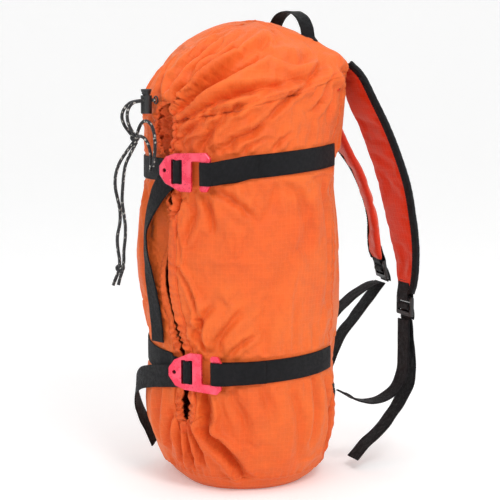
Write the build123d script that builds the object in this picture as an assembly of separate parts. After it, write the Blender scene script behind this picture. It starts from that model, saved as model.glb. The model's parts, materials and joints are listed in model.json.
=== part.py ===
"""Rope storage bag: a stuffed fabric cylinder with a slit front, two hook straps and a back harness.

Millimetres, +Z up. The origin is the centre of the flat base, on the surface that the bag stands on.
The slit and its hooks face -Y and the shoulder straps are on +Y, the wearer's back.
Angles are measured round the bag's axis from +X towards +Y.
"""

from build123d import *
from math import ceil, copysign, cos, radians, sin, tan
import os

os.makedirs("parts", exist_ok=True)

# Driving dimensions of the bag
BASE_RADIUS = 75
FOOT_RADIUS = 101
FOOT_HEIGHT = 60
FOOT_ROLL = (94.2, 27.3)
LOWER_BAND_TOP = 160
BELLY_RADIUS = 108
BELLY_HEIGHT = 250
WAIST_RADIUS = 104
WAIST_LOW = 322
WAIST_HIGH = 378
SHOULDER_RADIUS = 108.5
SHOULDER_HEIGHT = 420
DOME_RADIUS = 125
DOME_HEIGHT = 370
DOME_BACK = 14
WALL = 2
REACH = 400

# Seams: angles of the upright seams, and heights of the base and top seams
FRONT_SEAM = -68
RIGHT_SEAM = 47
LEFT_SEAM = 133
BASE_SEAM = 16
TOP_SEAM = 420
TOP_SEAM_TILT = 14.5

# Slit and mouth
SLIT_LOW = (-60, 101, 73)
SLIT_HIGH = (-76, 104, 372)
SLIT_WIDTH = 12
HEM_WIDTH = 10
MOUTH_ANGLE = -76
MOUTH_HEIGHT = 386
MOUTH_HALF_WIDTH = 15
MOUTH_HALF_HEIGHT = 25
CHANNEL_WIDTH = 6
HEM_DEPTH = 3.6

# Webbing
WEBBING = 25
WEBBING_THICKNESS = 1.6
LAP = 0.4
TIE_WEBBING = 20

# Hooks
HOOK_THICKNESS = 3.5
HOOK_STAND = 109.6
UPPER_HOOK = (-56, 344)
LOWER_HOOK = (-51, 132)
LOWER_HOOK_STAND = 106.6
BAR_OFFSET = -9.3
LOOP_BAR = (20.5, 31.9)

# Shoulder straps
STRAP_SPREAD = 45
STRAP_WIDTH = 60
STRAP_SKIN = 1.0
STRAP_PAD = 5.0
BINDING_WIDTH = 5

# Drawcord and its lock
CORD = 3.6
LOCK_CENTRE = (13, -115, 411.5)
LOCK_RADIUS = 5.9
LOCK_WELL = 5.0
LOCK_BODY = 19
BUTTON_HEIGHT = 7
BUTTON_TRAVEL = 4
CORD_HEIGHT = 416


def polar(angle, radius, height):
    """The point at an angle round the bag's axis."""
    return Vector(radius * cos(radians(angle)), radius * sin(radians(angle)), height)


def sector(start, end):
    """A tall wedge about the axis, for cutting between two upright seams."""
    steps = ceil((end - start) / 30)
    rim = [polar(start + (end - start) * i / steps, REACH, 0) for i in range(steps + 1)]
    corners = [(0, 0)] + [(point.X, point.Y) for point in rim]
    return Pos(0, 0, -REACH / 2) * extrude(make_face(Polyline(*corners, close=True)), 3 * REACH)


def bag_form(skin):
    """The stuffed bag as one solid, skin millimetres outside its cloth (inside when negative)."""
    half = [
        Line((0, -skin), (BASE_RADIUS, -skin)),
        ThreePointArc(
            (BASE_RADIUS, -skin),
            (FOOT_ROLL[0] + 0.92 * skin, FOOT_ROLL[1] - 0.4 * skin),
            (FOOT_RADIUS + skin, FOOT_HEIGHT),
        ),
        Line((FOOT_RADIUS + skin, FOOT_HEIGHT), (FOOT_RADIUS + skin, LOWER_BAND_TOP)),
        ThreePointArc(
            (FOOT_RADIUS + skin, LOWER_BAND_TOP),
            (BELLY_RADIUS + skin, BELLY_HEIGHT),
            (WAIST_RADIUS + skin, WAIST_LOW),
        ),
        Line((WAIST_RADIUS + skin, WAIST_LOW), (WAIST_RADIUS + skin, WAIST_HIGH)),
        Line((WAIST_RADIUS + skin, WAIST_HIGH), (SHOULDER_RADIUS + skin, SHOULDER_HEIGHT)),
        Line((SHOULDER_RADIUS + skin, SHOULDER_HEIGHT), (SHOULDER_RADIUS + skin, 520)),
        Line((SHOULDER_RADIUS + skin, 520), (0, 520)),
        Line((0, 520), (0, -skin)),
    ]
    barrel = revolve(Plane.XZ * make_face(half), Axis.Z)
    radius = DOME_RADIUS + skin
    dome = Pos(0, DOME_BACK, DOME_HEIGHT) * Sphere(radius)
    column_base = -20
    column = Cylinder(radius, DOME_HEIGHT - column_base, align=(Align.CENTER, Align.CENTER, Align.MIN))
    return barrel & (dome + Pos(0, DOME_BACK, column_base) * column)


def cloth(outer, inner):
    """A closed layer of cloth between two offsets of the bag's form."""
    return bag_form(outer) - bag_form(inner)


def above_top_seam():
    """The space above the slanting seam between the sides and the top panel."""
    block = Box(2 * REACH, 2 * REACH, REACH, align=(Align.CENTER, Align.CENTER, Align.MIN))
    return Pos(0, 0, TOP_SEAM) * Rot(TOP_SEAM_TILT, 0, 0) * block


def slit_block(width, extra):
    """A block along the leaning slit, extra millimetres longer at its foot."""
    low = polar(*SLIT_LOW)
    high = polar(*SLIT_HIGH)
    outward = polar(FRONT_SEAM, 1, 0)
    along = (high - low).normalized()
    plane = Plane(origin=(low + high) * 0.5 - along * (extra / 2), x_dir=along.cross(outward), z_dir=outward)
    return plane * Box(width, (high - low).length + extra, 80)


def mouth_plane():
    """The plane of the gathered mouth, facing out of the bag."""
    outward = polar(MOUTH_ANGLE, 1, 0)
    return Plane(
        origin=polar(MOUTH_ANGLE, WAIST_RADIUS, MOUTH_HEIGHT),
        x_dir=polar(MOUTH_ANGLE + 90, 1, 0),
        z_dir=outward,
    )


def mouth_block(growth):
    """An oval plug through the mouth, growth millimetres larger all round."""
    oval = Ellipse(MOUTH_HALF_WIDTH + growth, MOUTH_HALF_HEIGHT + growth)
    return mouth_plane() * extrude(oval, 40, both=True)


def eyelet_place():
    """The cord's way out of the cloth, on the lock's line."""
    return Pos(LOCK_CENTRE[0], -103.2, CORD_HEIGHT) * Rot(90, 0, 0)


def make_panels():
    """Two sides, the back, the base and the top, cut from one layer of cloth along the seams."""
    skin = cloth(0, -WALL)
    top = above_top_seam()
    base = Pos(0, 0, -5) * Cylinder(150, BASE_SEAM + 5, align=(Align.CENTER, Align.CENTER, Align.MIN))
    wall = skin - top - base
    opening = slit_block(SLIT_WIDTH + 2 * HEM_WIDTH, HEM_WIDTH) + mouth_block(CHANNEL_WIDTH)
    return {
        "base_panel": skin & base,
        "top_panel": (skin & top) - mouth_block(CHANNEL_WIDTH) - eyelet_place() * Cylinder(5, 12),
        "right_side_panel": (wall & sector(FRONT_SEAM, RIGHT_SEAM)) - opening,
        "back_panel": wall & sector(RIGHT_SEAM, LEFT_SEAM),
        "left_side_panel": (wall & sector(LEFT_SEAM, 360 + FRONT_SEAM)) - opening,
    }


def make_hems():
    """The two folded slit hems, each with a flat elastic in its channel, and the mouth channel."""
    layer = cloth(0, -HEM_DEPTH)
    strips = (layer & slit_block(SLIT_WIDTH + 2 * HEM_WIDTH, HEM_WIDTH)) - mouth_block(CHANNEL_WIDTH)
    below_slit = Pos(0, 0, SLIT_LOW[2] - 30) * Box(300, 300, 60)
    foot_patch = strips & below_slit
    strips = strips - slit_block(SLIT_WIDTH, 0) - below_slit
    middle = Pos(0, 0, 215)
    room = slit_block(SLIT_WIDTH + 15, 0) - slit_block(SLIT_WIDTH + 5, 0)
    channel = cloth(-0.8, -2.8) & room & middle * Box(300, 300, 260)
    core = slit_block(SLIT_WIDTH + 14, 0) - slit_block(SLIT_WIDTH + 6, 0)
    elastic = cloth(-1.2, -2.4) & core & middle * Box(300, 300, 259)
    hems = (strips - channel).solids().sort_by(Axis.X)
    elastics = elastic.solids().sort_by(Axis.X)
    mouth = (layer & mouth_block(CHANNEL_WIDTH)) - mouth_block(0) - slit_block(SLIT_WIDTH, 0)
    mouth -= eyelet_place() * Cylinder(5, 12)
    return {
        "left_slit_hem": hems[0],
        "right_slit_hem": hems[-1],
        "left_hem_elastic": elastics[0],
        "right_hem_elastic": elastics[-1],
        "slit_foot_patch": foot_patch,
        "mouth_channel": mouth,
    }


def band(start, end, level, rise, rise_angle, radius):
    """Webbing laid flat round the bag, its level rising towards one angle."""
    tilt = rise / radius
    lean = polar(rise_angle, 1, 0)
    slab_plane = Plane(origin=(0, 0, level), z_dir=Vector(-lean.X * tilt, -lean.Y * tilt, 1))
    slab = slab_plane * Box(REACH, REACH, WEBBING)
    tall = 200
    ring = Cylinder(radius + WEBBING_THICKNESS, tall) - Cylinder(radius, tall)
    return (Pos(0, 0, level) * ring) & slab & sector(start, end)


def strip(stations, low, high, inner, outer):
    """A flat strip through stations of (centre, width direction, face direction)."""
    sections = []
    for centre, across, face in stations:
        corners = [(low, inner), (high, inner), (high, outer), (low, outer)]
        points = [centre + across * a + face * b for a, b in corners]
        sections.append(make_face(Polyline(*points, close=True)))
    return loft(sections, ruled=True)


def stations_along(points, widths):
    """Stations with the face at right angles to the run and to the width direction."""
    stations = []
    for i, point in enumerate(points):
        ahead = points[min(i + 1, len(points) - 1)]
        behind = points[max(i - 1, 0)]
        run = (Vector(*ahead) - Vector(*behind)).normalized()
        across = Vector(*widths[i])
        across = (across - run * across.dot(run)).normalized()
        stations.append((Vector(*point), across, run.cross(across).normalized()))
    return stations


def webbing(points, widths, width=WEBBING):
    """A free length of webbing along a route."""
    half = width / 2
    thick = WEBBING_THICKNESS / 2
    return strip(stations_along(points, widths), -half, half, -thick, thick)


def hook_plane(place, stand):
    """The plane of a hook's inner face, tangent to the bag."""
    angle, height = place
    outward = polar(angle, 1, 0)
    return Plane(origin=polar(angle, stand, height), x_dir=polar(angle + 90, 1, 0), z_dir=outward)


def make_hook(flip):
    """An open-ended hook plate: cord hole, two slots round a sliding bar, and a hook for the loop."""
    outline = Polyline(
        (-31, -4), (-31, 5), (-23, 15), (-12, 18.5), (26, 20.5), (31, 15), (31, -13), (27, -20),
        (20, -20), (18, -16), (21, -12), (21, 11), (8, 11), (8, -21), (-6, -21), (-24, -13), close=True
    )
    plate = make_face(outline)
    plate = fillet(plate.vertices(), 1.9)
    for x in (-13.6, -5.0):
        plate -= Pos(x, -0.5) * RectangleRounded(4.8, 25.6, 1)
    plate -= Pos(-24.4, 0.5) * Circle(2.2)
    body = extrude(plate, HOOK_THICKNESS)
    body = chamfer(body.faces().sort_by(Axis.Z)[-1].outer_wire().edges(), 0.7)
    if flip:
        body = Rot(180, 0, 0) * Pos(0, 0, -HOOK_THICKNESS) * body
    return body


def make_hook_straps(name, place, stand, radius, drop, right, left):
    """One compression strap: a sewn loop on the right side and adjusting webbing on the left."""
    angle, height = place
    plane = hook_plane(place, stand)
    standing = band(angle + 17, RIGHT_SEAM, *right, radius)
    thick = WEBBING_THICKNESS
    bar_left, bar_right = LOOP_BAR
    loop_place = Pos((bar_left + bar_right) / 2, drop, HOOK_THICKNESS / 2)
    bar_width = bar_right - bar_left
    outer = loop_place * Box(bar_width + 2 * thick, WEBBING - 3, HOOK_THICKNESS + 2 * thick + 0.8)
    inner = loop_place * Box(bar_width, WEBBING, HOOK_THICKNESS + 0.8)
    loop = plane * (outer - inner)
    adjusting = band(LEFT_SEAM, 360 + angle - 9, *left, radius)
    slot_level = copysign(0.5, drop)
    turn_width = WEBBING - 0.4
    over = Pos(BAR_OFFSET, slot_level, HOOK_THICKNESS + 0.3 + thick / 2) * Box(8.6, turn_width, thick)
    for offset in (-3.5, 3.5):
        side = Box(thick, turn_width, HOOK_THICKNESS + 2.4)
        over += Pos(BAR_OFFSET + offset, slot_level, HOOK_THICKNESS / 2 - 0.6) * side
    return {
        f"{name}_loop_strap": standing,
        f"{name}_loop": loop,
        f"{name}_adjusting_strap": adjusting,
        f"{name}_bar_turn": plane * over,
    }


def cord_tube(points, label):
    """A round cord along straight runs joined by tangent arcs."""
    corners = [Vector(*point) for point in points]
    radii = []
    for before, here, after in zip(corners, corners[1:], corners[2:]):
        turn = (here - before).get_angle(after - here)
        shorter = min((here - before).length, (after - here).length)
        radii.append(0.45 * shorter / tan(radians(turn / 2)))
    path = FilletPolyline(*corners, radius=radii)
    start = Plane(origin=path @ 0, z_dir=path % 0)
    tube = sweep(start * Circle(CORD / 2), path=path)
    exact = 3.14159 * CORD ** 2 / 4 * path.length
    print(label, "length", round(path.length, 1), "volume ratio", round(tube.volume / exact, 4),
          "radii", [round(radius, 1) for radius in radii])
    return tube


# The drawcord's route points, chosen by hand: two strands through the lock to the first knot,
# two keeper strands from it over the upper strap, and two hanging strands to the end knot.
CORD_ROUTES = {
    "drawcord_left_strand": [
        (11.1, -105.2, 416), (11.1, -128, 416), (6.5, -136, 410), (0.5, -138.5, 400.5),
        (-3.5, -134.5, 390), (-5, -127, 381), (-4.5, -122, 375),
    ],
    "drawcord_right_strand": [
        (14.9, -105.2, 416), (14.9, -128, 416), (12.5, -134.5, 409.5), (7.5, -135, 400.5),
        (2, -131, 390), (-0.5, -125, 381), (-1.5, -121, 375),
    ],
    "keeper_left_strand": [
        (-2.5, -121, 376), (4, -119.5, 378.5), (10.5, -116.5, 376.5), (15, -114, 370.5),
        (17.8, -112.8, 362), (19, -112.5, 352), (17.5, -112.8, 341),
    ],
    "keeper_right_strand": [
        (-2.5, -120, 379), (-0.5, -118, 387.5), (6, -116.5, 393.5), (14, -114.5, 394.5),
        (21, -112.5, 390.5), (25.5, -111.2, 382), (27.2, -111, 371), (26.4, -111.4, 359), (23.5, -112, 347),
    ],
    "hanging_left_strand": [
        (-4, -122.5, 372), (-5.5, -131, 361), (-6.5, -138.5, 350), (-7, -143, 337.5),
        (-7.5, -143.5, 324), (-7.5, -140.5, 311), (-8, -137.5, 298), (-9, -137.5, 284),
        (-9.5, -141, 271), (-9.8, -140.2, 257), (-9.6, -138, 245), (-9.2, -139, 234),
        (-10.2, -142.5, 226), (-11.2, -145.5, 218),
    ],
    "hanging_right_strand": [
        (-1.3, -121, 371), (0, -128, 360), (-0.8, -134, 348.5), (-2.5, -135.5, 335.5),
        (-3.2, -136.5, 322), (-3.5, -137.3, 308.5), (-4, -135, 295), (-4.5, -133, 281.5),
        (-5, -133.3, 268), (-5, -135.3, 255), (-5, -135, 243.5), (-5.5, -137, 233),
        (-5.2, -140, 226), (-5.6, -141.5, 219),
    ],
}
KNOTS = {"drawcord_knot": (-3, -122, 374.5, 5.6), "end_knot": (-7, -138, 235.5, 6.2)}


def make_cords():
    """The drawcord's strands and its two overhand knots."""
    knots = {name: Pos(x, y, z) * Sphere(radius) for name, (x, y, z, radius) in KNOTS.items()}
    nodes = {}
    for name, route in CORD_ROUTES.items():
        tube = cord_tube(route, name)
        for knot in knots.values():
            tube = tube - knot
        nodes[name] = tube
    nodes.update(knots)
    nodes["cord_eyelet"] = eyelet_place() * (Cylinder(5, 3) - Box(8.4, 4.8, 8))
    return nodes


def standing_cylinder(radius, height):
    """A cylinder standing on its own origin."""
    return Cylinder(radius, height, align=(Align.CENTER, Align.CENTER, Align.MIN))


def make_cord_lock():
    """The barrel, its sprung button and the coil inside, with one slot for both strands."""
    x, y, z = LOCK_CENTRE
    low = z - LOCK_BODY / 2
    high = z + LOCK_BODY / 2
    barrel = Pos(x, y, z) * Cylinder(LOCK_RADIUS, LOCK_BODY)
    barrel = fillet(barrel.edges(), 1)
    well = standing_cylinder(LOCK_WELL, LOCK_BODY)
    barrel -= Pos(x, y, low + 2) * well
    stem_low = low + 8.5
    cap_low = high + BUTTON_TRAVEL + 0.2
    stem = standing_cylinder(LOCK_WELL - 0.15, cap_low - stem_low)
    cap = standing_cylinder(LOCK_RADIUS - 0.3, BUTTON_HEIGHT - BUTTON_TRAVEL)
    button = Pos(x, y, stem_low) * stem + Pos(x, y, cap_low) * cap
    slot = Pos(x, y, CORD_HEIGHT) * Box(8.2, 40, 4.4)
    button_slot = Pos(x, y, CORD_HEIGHT + BUTTON_TRAVEL / 2) * Box(8.2, 40, 4.4 + BUTTON_TRAVEL)
    coil = Pos(x, y, low + 2.1) * (standing_cylinder(3.6, 6) - standing_cylinder(2.8, 6))
    return {"cord_lock_barrel": barrel - slot, "cord_lock_button": button - button_slot,
            "cord_lock_spring": coil}


# Shoulder straps: (y, z) down the middle of each strap, then its turn about the upright in degrees
RIGHT_STRAP = [
    (114, 437, 0), (124.5, 411, 2), (139, 384, 3), (153, 352, 4), (165, 319, 4), (173, 286, 3),
    (179, 258, 2), (183, 232, 0), (184, 208, 0), (183, 196, 0),
]
LEFT_STRAP = [
    (114, 437, 0), (123, 409, -4), (135, 380, -10), (152, 351, -16), (169, 325, -20), (182, 296, -22),
    (190, 268, -22), (192, 247, -18), (194, 232, -12), (197, 222, -8),
]
STRAP_WIDTHS = [0.93, 1, 1, 1, 1, 0.97, 0.9, 0.78, 0.6, 0.45]


def strap_stations(side, route):
    """Stations of one shoulder strap, with its scale of width at each."""
    points = [(side * STRAP_SPREAD, y, z) for y, z, _ in route]
    widths = [(cos(radians(turn)), sin(radians(turn)), 0) for _, _, turn in route]
    return stations_along(points, widths)


def scaled_strip(stations, scales, low, high, inner, outer):
    """A padded strip whose half widths follow the strap's taper."""
    sections = []
    for (centre, across, face), scale in zip(stations, scales):
        corners = [(low * scale, inner), (high * scale, inner), (high * scale, outer), (low * scale, outer)]
        points = [centre + across * a + face * b for a, b in corners]
        sections.append(make_face(Polyline(*points, close=True)))
    return loft(sections, ruled=True)


def make_ladder_lock(centre, lean, twist):
    """A three-bar plastic adjuster hung under the strap."""
    frame = RectangleRounded(33, 22, 2)
    for z in (4.2, -4.2):
        frame -= Pos(0, z) * Rectangle(26.4, 4.4)
    plate = extrude(frame, 3.6, both=False)
    plate = chamfer(plate.faces().sort_by(Axis.Z)[-1].outer_wire().edges(), 0.6)
    plate = Pos(0, 0, -1.8) * plate
    return Pos(*centre) * Rot(0, 0, twist) * Rot(90 + lean, 0, 0) * plate


def make_strap(side, name, route):
    """Cover, foam pad and edge binding of one shoulder strap."""
    stations = strap_stations(side, route)
    half = STRAP_WIDTH / 2
    thick = STRAP_PAD / 2 + STRAP_SKIN
    shell = scaled_strip(stations, STRAP_WIDTHS, -half, half, -thick, thick)
    pad_stations = stations[1:-1]
    pad_scales = STRAP_WIDTHS[1:-1]
    room = scaled_strip(pad_stations, pad_scales, -half + 5, half - 5, -STRAP_PAD / 2, STRAP_PAD / 2)
    pad = scaled_strip(pad_stations[1:-1], pad_scales[1:-1], -half + 6, half - 6,
                       -STRAP_PAD / 2 + 0.3, STRAP_PAD / 2 - 0.3)
    edge = half * side
    near, far = sorted((edge + 0.3 * side, edge + (BINDING_WIDTH + 0.3) * side))
    binding = scaled_strip(stations, STRAP_WIDTHS, near, far, -thick * 0.6, thick * 0.6)
    return {f"{name}_strap_cover": shell - room, f"{name}_strap_pad": pad, f"{name}_strap_binding": binding}


# Webbing below the shoulder straps: (x, y, z) routes of the anchored strand and the free tail
RIGHT_LOCK = (45, 182.5, 181)
LEFT_LOCK = (-45, 202, 209.5)
HARNESS_ROUTES = {
    "right_anchor_webbing": [
        (45, 181.5, 169.4), (45, 181, 150), (45, 181, 125), (45, 179.5, 104), (45, 172, 88), (45, 157, 78),
        (45, 138, 75), (45, 120, 79), (45, 107, 87),
    ],
    "right_tail_webbing": [
        (45, 185, 169.4), (45, 186.5, 148), (45, 189.5, 124), (45, 190.5, 106), (45, 187, 89), (45, 177, 72),
        (45, 165, 56), (45, 151, 41), (45, 134, 28), (45, 117, 12),
    ],
    "left_anchor_webbing": [
        (-45, 200, 196.4), (-45, 189, 192), (-45, 177, 187), (-45, 163, 179), (-45, 150, 169), (-45, 137, 157),
        (-45, 124, 140), (-45, 114, 120), (-45, 107, 100),
    ],
    "left_tail_webbing": [
        (-45, 201, 194), (-45, 192.5, 183), (-45, 180, 170), (-45, 165, 152), (-45, 152, 138), (-45, 141, 120),
        (-45, 132, 100),
    ],
}


def make_harness():
    """Straps, adjusters, webbing, the yoke they are sewn to and the lower anchor tabs."""
    nodes = {}
    nodes.update(make_strap(1, "right", RIGHT_STRAP))
    nodes.update(make_strap(-1, "left", LEFT_STRAP))
    nodes["right_ladder_lock"] = make_ladder_lock(RIGHT_LOCK, 0, 0)
    nodes["left_ladder_lock"] = make_ladder_lock(LEFT_LOCK, 12, -8)
    for name, route in HARNESS_ROUTES.items():
        nodes[name] = webbing(route, [(1, 0, 0)] * len(route))
    yoke_layer = cloth(2.2, 0.3)
    yoke_box = Pos(0, 100, 434) * Box(158, 60, 20)
    nodes["strap_yoke"] = yoke_layer & yoke_box
    for side, name, level in ((1, "right", 90), (-1, "left", 100)):
        tab = Pos(side * STRAP_SPREAD, 96, level) * Box(34, 20, 24)
        nodes[f"{name}_anchor_tab"] = tab - bag_form(0.3)
    return nodes


def make_haul_loop():
    """A loop of webbing standing on the top seam, on two sewn tabs."""
    apex = 508
    spread = 42
    y = 60
    points = [(-spread, y, 484.5), (-38, y, 492), (-29, y, 501), (-15, y, 506.5), (0, y, apex),
              (15, y, 506.5), (29, y, 501), (38, y, 492), (spread, y, 484.5)]
    loop = webbing(points, [(0, 1, 0)] * len(points), 16)
    tab = Box(14, 20, 14)
    tabs = (Pos(-spread, y, 475) * tab + Pos(spread, y, 475) * tab) - bag_form(0.3)
    return {"haul_loop": loop, "haul_loop_tabs": tabs}


def make_tie_loops():
    """Webbing loops inside the bag for tying in both rope ends."""
    ring = Cylinder(15, TIE_WEBBING) - Cylinder(13.4, TIE_WEBBING)
    low = Pos(-40, -30, WALL + 15.3) * Rot(90, 0, 0) * ring
    high = Pos(-60, -50, 408) * Rot(90, 0, 40) * ring
    return {"lower_rope_tie_loop": low, "upper_rope_tie_loop": high}


def flat_on(angle, radius, height, lean, twist):
    """A tail's place on the bag: its width leans from upright, and twists away from the cloth."""
    tangent = polar(angle + 90, 1, 0)
    radial = polar(angle, 1, 0)
    level = tangent * cos(radians(twist)) + radial * sin(radians(twist))
    width = level * sin(radians(lean)) + Vector(0, 0, 1) * cos(radians(lean))
    return polar(angle, radius, height), width


# Free tails of the two adjusting straps: (angle, radius, height, lean, twist) along each
UPPER_TAIL = [
    (-67.5, 108.4, 335, 8, 0), (-74, 108.2, 325, 36, 0), (-81, 108.6, 312, 62, 3), (-86.5, 110.6, 297, 84, 9),
    (-89, 113.4, 279, 90, 17), (-88.5, 113.4, 258, 90, 15), (-87, 112, 236, 90, 8), (-85, 109.8, 212, 90, 2),
    (-83, 107.2, 186, 90, 0), (-82, 105.4, 158, 90, 0),
]
LOWER_TAIL = [
    (-64, 105.0, 126, 0, 0), (-78, 105.2, 122, 2, 0), (-92, 107, 117, 6, 0), (-103, 111, 111, 14, 0),
    (-112, 115, 102, 34, 0), (-119, 117.5, 89, 60, 0), (-124, 117.5, 73, 78, 0), (-128, 114, 56, 88, 0),
    (-131, 108, 40, 90, 0), (-133, 102.5, 25, 90, 0),
]


def make_front_straps():
    """The two hooks with their loops, adjusting webbing and free tails."""
    nodes = {
        "upper_hook": hook_plane(UPPER_HOOK, HOOK_STAND) * make_hook(False),
        "lower_hook": hook_plane(LOWER_HOOK, LOWER_HOOK_STAND) * make_hook(True),
    }
    upper_radius = WAIST_RADIUS + LAP
    lower_radius = FOOT_RADIUS + LAP
    nodes.update(make_hook_straps("upper", UPPER_HOOK, HOOK_STAND, upper_radius,
                                  -1.5, (348.6, 8.9, 65), (342, 3, -30)))
    nodes.update(make_hook_straps("lower", LOWER_HOOK, LOWER_HOOK_STAND, lower_radius,
                                  1.5, (133.4, 4, 75), (138, 9, 190)))
    for name, route in (("upper_tail_webbing", UPPER_TAIL), ("lower_tail_webbing", LOWER_TAIL)):
        places = [flat_on(*station) for station in route]
        nodes[name] = webbing([tuple(point) for point, _ in places], [tuple(width) for _, width in places])
    return nodes


def build():
    """Every sub-part, by node name."""
    nodes = make_panels()
    nodes.update(make_hems())
    nodes.update(make_front_straps())
    nodes.update(make_cords())
    nodes.update(make_cord_lock())
    nodes.update(make_harness())
    nodes.update(make_haul_loop())
    nodes.update(make_tie_loops())
    return nodes


for node, shape in build().items():
    export_step(shape, f"parts/{node}.step")
    print(node, len(shape.solids()), "solids", round(shape.volume), "mm3")
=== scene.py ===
# %% [markdown]
# # A stuffed rope bag
# The bag is a coated nylon cylinder, stuffed with rope until its cloth is taut in some places and creased
# in others. The CAD model already holds every hard part and every joint, so this lesson only adds the looks:
# it loads that model as a frame, hides the plain cloth solids and sews better ones in their places.

# %% Load the frame
import bmesh
import bpy
import json
import math
import numpy as np
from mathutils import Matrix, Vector
from mathutils.noise import noise


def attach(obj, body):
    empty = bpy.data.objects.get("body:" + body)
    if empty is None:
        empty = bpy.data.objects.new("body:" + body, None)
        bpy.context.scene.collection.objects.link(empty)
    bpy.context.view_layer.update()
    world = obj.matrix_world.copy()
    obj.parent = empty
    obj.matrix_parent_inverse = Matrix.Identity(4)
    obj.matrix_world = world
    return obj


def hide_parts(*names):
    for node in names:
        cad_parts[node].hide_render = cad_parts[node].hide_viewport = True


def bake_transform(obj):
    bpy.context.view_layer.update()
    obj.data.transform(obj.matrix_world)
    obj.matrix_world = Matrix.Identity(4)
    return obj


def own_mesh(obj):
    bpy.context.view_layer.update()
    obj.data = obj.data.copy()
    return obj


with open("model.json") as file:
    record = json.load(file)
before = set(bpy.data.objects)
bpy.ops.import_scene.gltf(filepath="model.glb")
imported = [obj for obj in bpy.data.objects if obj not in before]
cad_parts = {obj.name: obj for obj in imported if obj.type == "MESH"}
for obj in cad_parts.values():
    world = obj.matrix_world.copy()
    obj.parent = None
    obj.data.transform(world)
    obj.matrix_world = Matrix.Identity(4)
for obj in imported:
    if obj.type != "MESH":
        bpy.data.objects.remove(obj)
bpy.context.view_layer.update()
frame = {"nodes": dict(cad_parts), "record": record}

# %% [markdown]
# ## Camera, floor and light
# The bag is seen from its right front, a little from above, with a long lens that keeps its sides upright.
# The floor is one pale sheet that curves up behind, and three big soft lamps light it as in a product
# studio: a key from the left front, a fill from the right and one overhead.

# %% Camera and studio
CAMERA_AZIMUTH = math.radians(65)
CAMERA_ELEVATION = math.radians(8)
CAMERA_DISTANCE = 1.8
CAMERA_AIM = Vector((0.0042, 0.009, 0.249))
toward_camera = Vector((
    math.sin(CAMERA_AZIMUTH) * math.cos(CAMERA_ELEVATION),
    -math.cos(CAMERA_AZIMUTH) * math.cos(CAMERA_ELEVATION),
    math.sin(CAMERA_ELEVATION),
))
camera_right = Vector((math.cos(CAMERA_AZIMUTH), math.sin(CAMERA_AZIMUTH), 0))
camera_data = bpy.data.cameras.new("camera")
camera_data.lens = 118
camera = bpy.data.objects.new("camera", camera_data)
camera.location = CAMERA_AIM + toward_camera * CAMERA_DISTANCE
camera.rotation_euler = toward_camera.to_track_quat("Z", "Y").to_euler()
bpy.context.scene.collection.objects.link(camera)
bpy.context.scene.camera = camera


def area_light(name, azimuth, elevation, distance, size, watts, tint):
    """A square soft lamp that faces the middle of the bag."""
    a = math.radians(azimuth)
    e = math.radians(elevation)
    way = Vector((math.sin(a) * math.cos(e), -math.cos(a) * math.cos(e), math.sin(e)))
    data = bpy.data.lights.new(name, "AREA")
    data.size = size
    data.energy = watts
    data.color = tint
    lamp = bpy.data.objects.new(name, data)
    lamp.location = Vector((0, 0, 0.25)) + way * distance
    lamp.rotation_euler = way.to_track_quat("Z", "Y").to_euler()
    bpy.context.scene.collection.objects.link(lamp)


area_light("key_light", 88, 43, 1.7, 0.5, 9.4, (1, 0.985, 0.97))
area_light("fill_light", 32, 18, 2.0, 1.2, 2.1, (1, 1, 1))
area_light("top_light", 60, 82, 1.8, 0.9, 3.4, (1, 1, 1))

world = bpy.data.worlds.new("studio")
bpy.context.scene.world = world
world.use_nodes = True
world.node_tree.nodes["Background"].inputs["Color"].default_value = (1, 1, 1, 1)
world.node_tree.nodes["Background"].inputs["Strength"].default_value = 0.20
bpy.context.scene.view_settings.view_transform = "Standard"
print("camera stands", CAMERA_DISTANCE, "m away")
# %% [markdown]
# ## Finishes
# Every finish is a small tree of nodes. A helper wires one node into another so that each recipe below
# reads as a list. Woven goods carry a map whose units are metres of cloth, so a 5 mm ripstop square or a
# 1.2 mm rib is the same size on every piece; hard parts use their own object coordinates.

# %% Node helpers
def new_material(name):
    """An empty material with its shader, ready for a recipe."""
    material = bpy.data.materials.new(name)
    material.use_nodes = True
    tree = material.node_tree
    shader = tree.nodes["Principled BSDF"]
    return material, tree, shader


def put(tree, kind, settings=None, **links):
    """Adds a node. Links are input=output or input=number, with _0, _1 for numbered inputs."""
    node = tree.nodes.new(kind)
    for key, value in (settings or {}).items():
        setattr(node, key, value)
    for key, value in links.items():
        socket = node.inputs[int(key[1:])] if key.startswith("_") else node.inputs[key]
        if isinstance(value, bpy.types.NodeSocket):
            tree.links.new(value, socket)
        else:
            socket.default_value = value
    return node


def maths(tree, operation, *values):
    """A math node's output."""
    node = put(tree, "ShaderNodeMath", {"operation": operation}, **{f"_{i}": v for i, v in enumerate(values)})
    return node.outputs[0]


def blend_colours(tree, factor, first, second, mode="MIX"):
    """A colour mix's output."""
    node = tree.nodes.new("ShaderNodeMix")
    node.data_type = "RGBA"
    node.blend_type = mode
    for socket, value in ((node.inputs[0], factor), (node.inputs[6], first), (node.inputs[7], second)):
        if isinstance(value, bpy.types.NodeSocket):
            tree.links.new(value, socket)
        else:
            socket.default_value = value
    return node.outputs[2]


def ramp(tree, factor, low, high, start=0.0, end=1.0):
    """A smooth step of a value from low to high between start and end."""
    node = tree.nodes.new("ShaderNodeMapRange")
    node.interpolation_type = "SMOOTHSTEP"
    for socket, value in zip(node.inputs[:5], (factor, start, end, low, high)):
        if isinstance(value, bpy.types.NodeSocket):
            tree.links.new(value, socket)
        else:
            socket.default_value = value
    return node.outputs[0]


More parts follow.
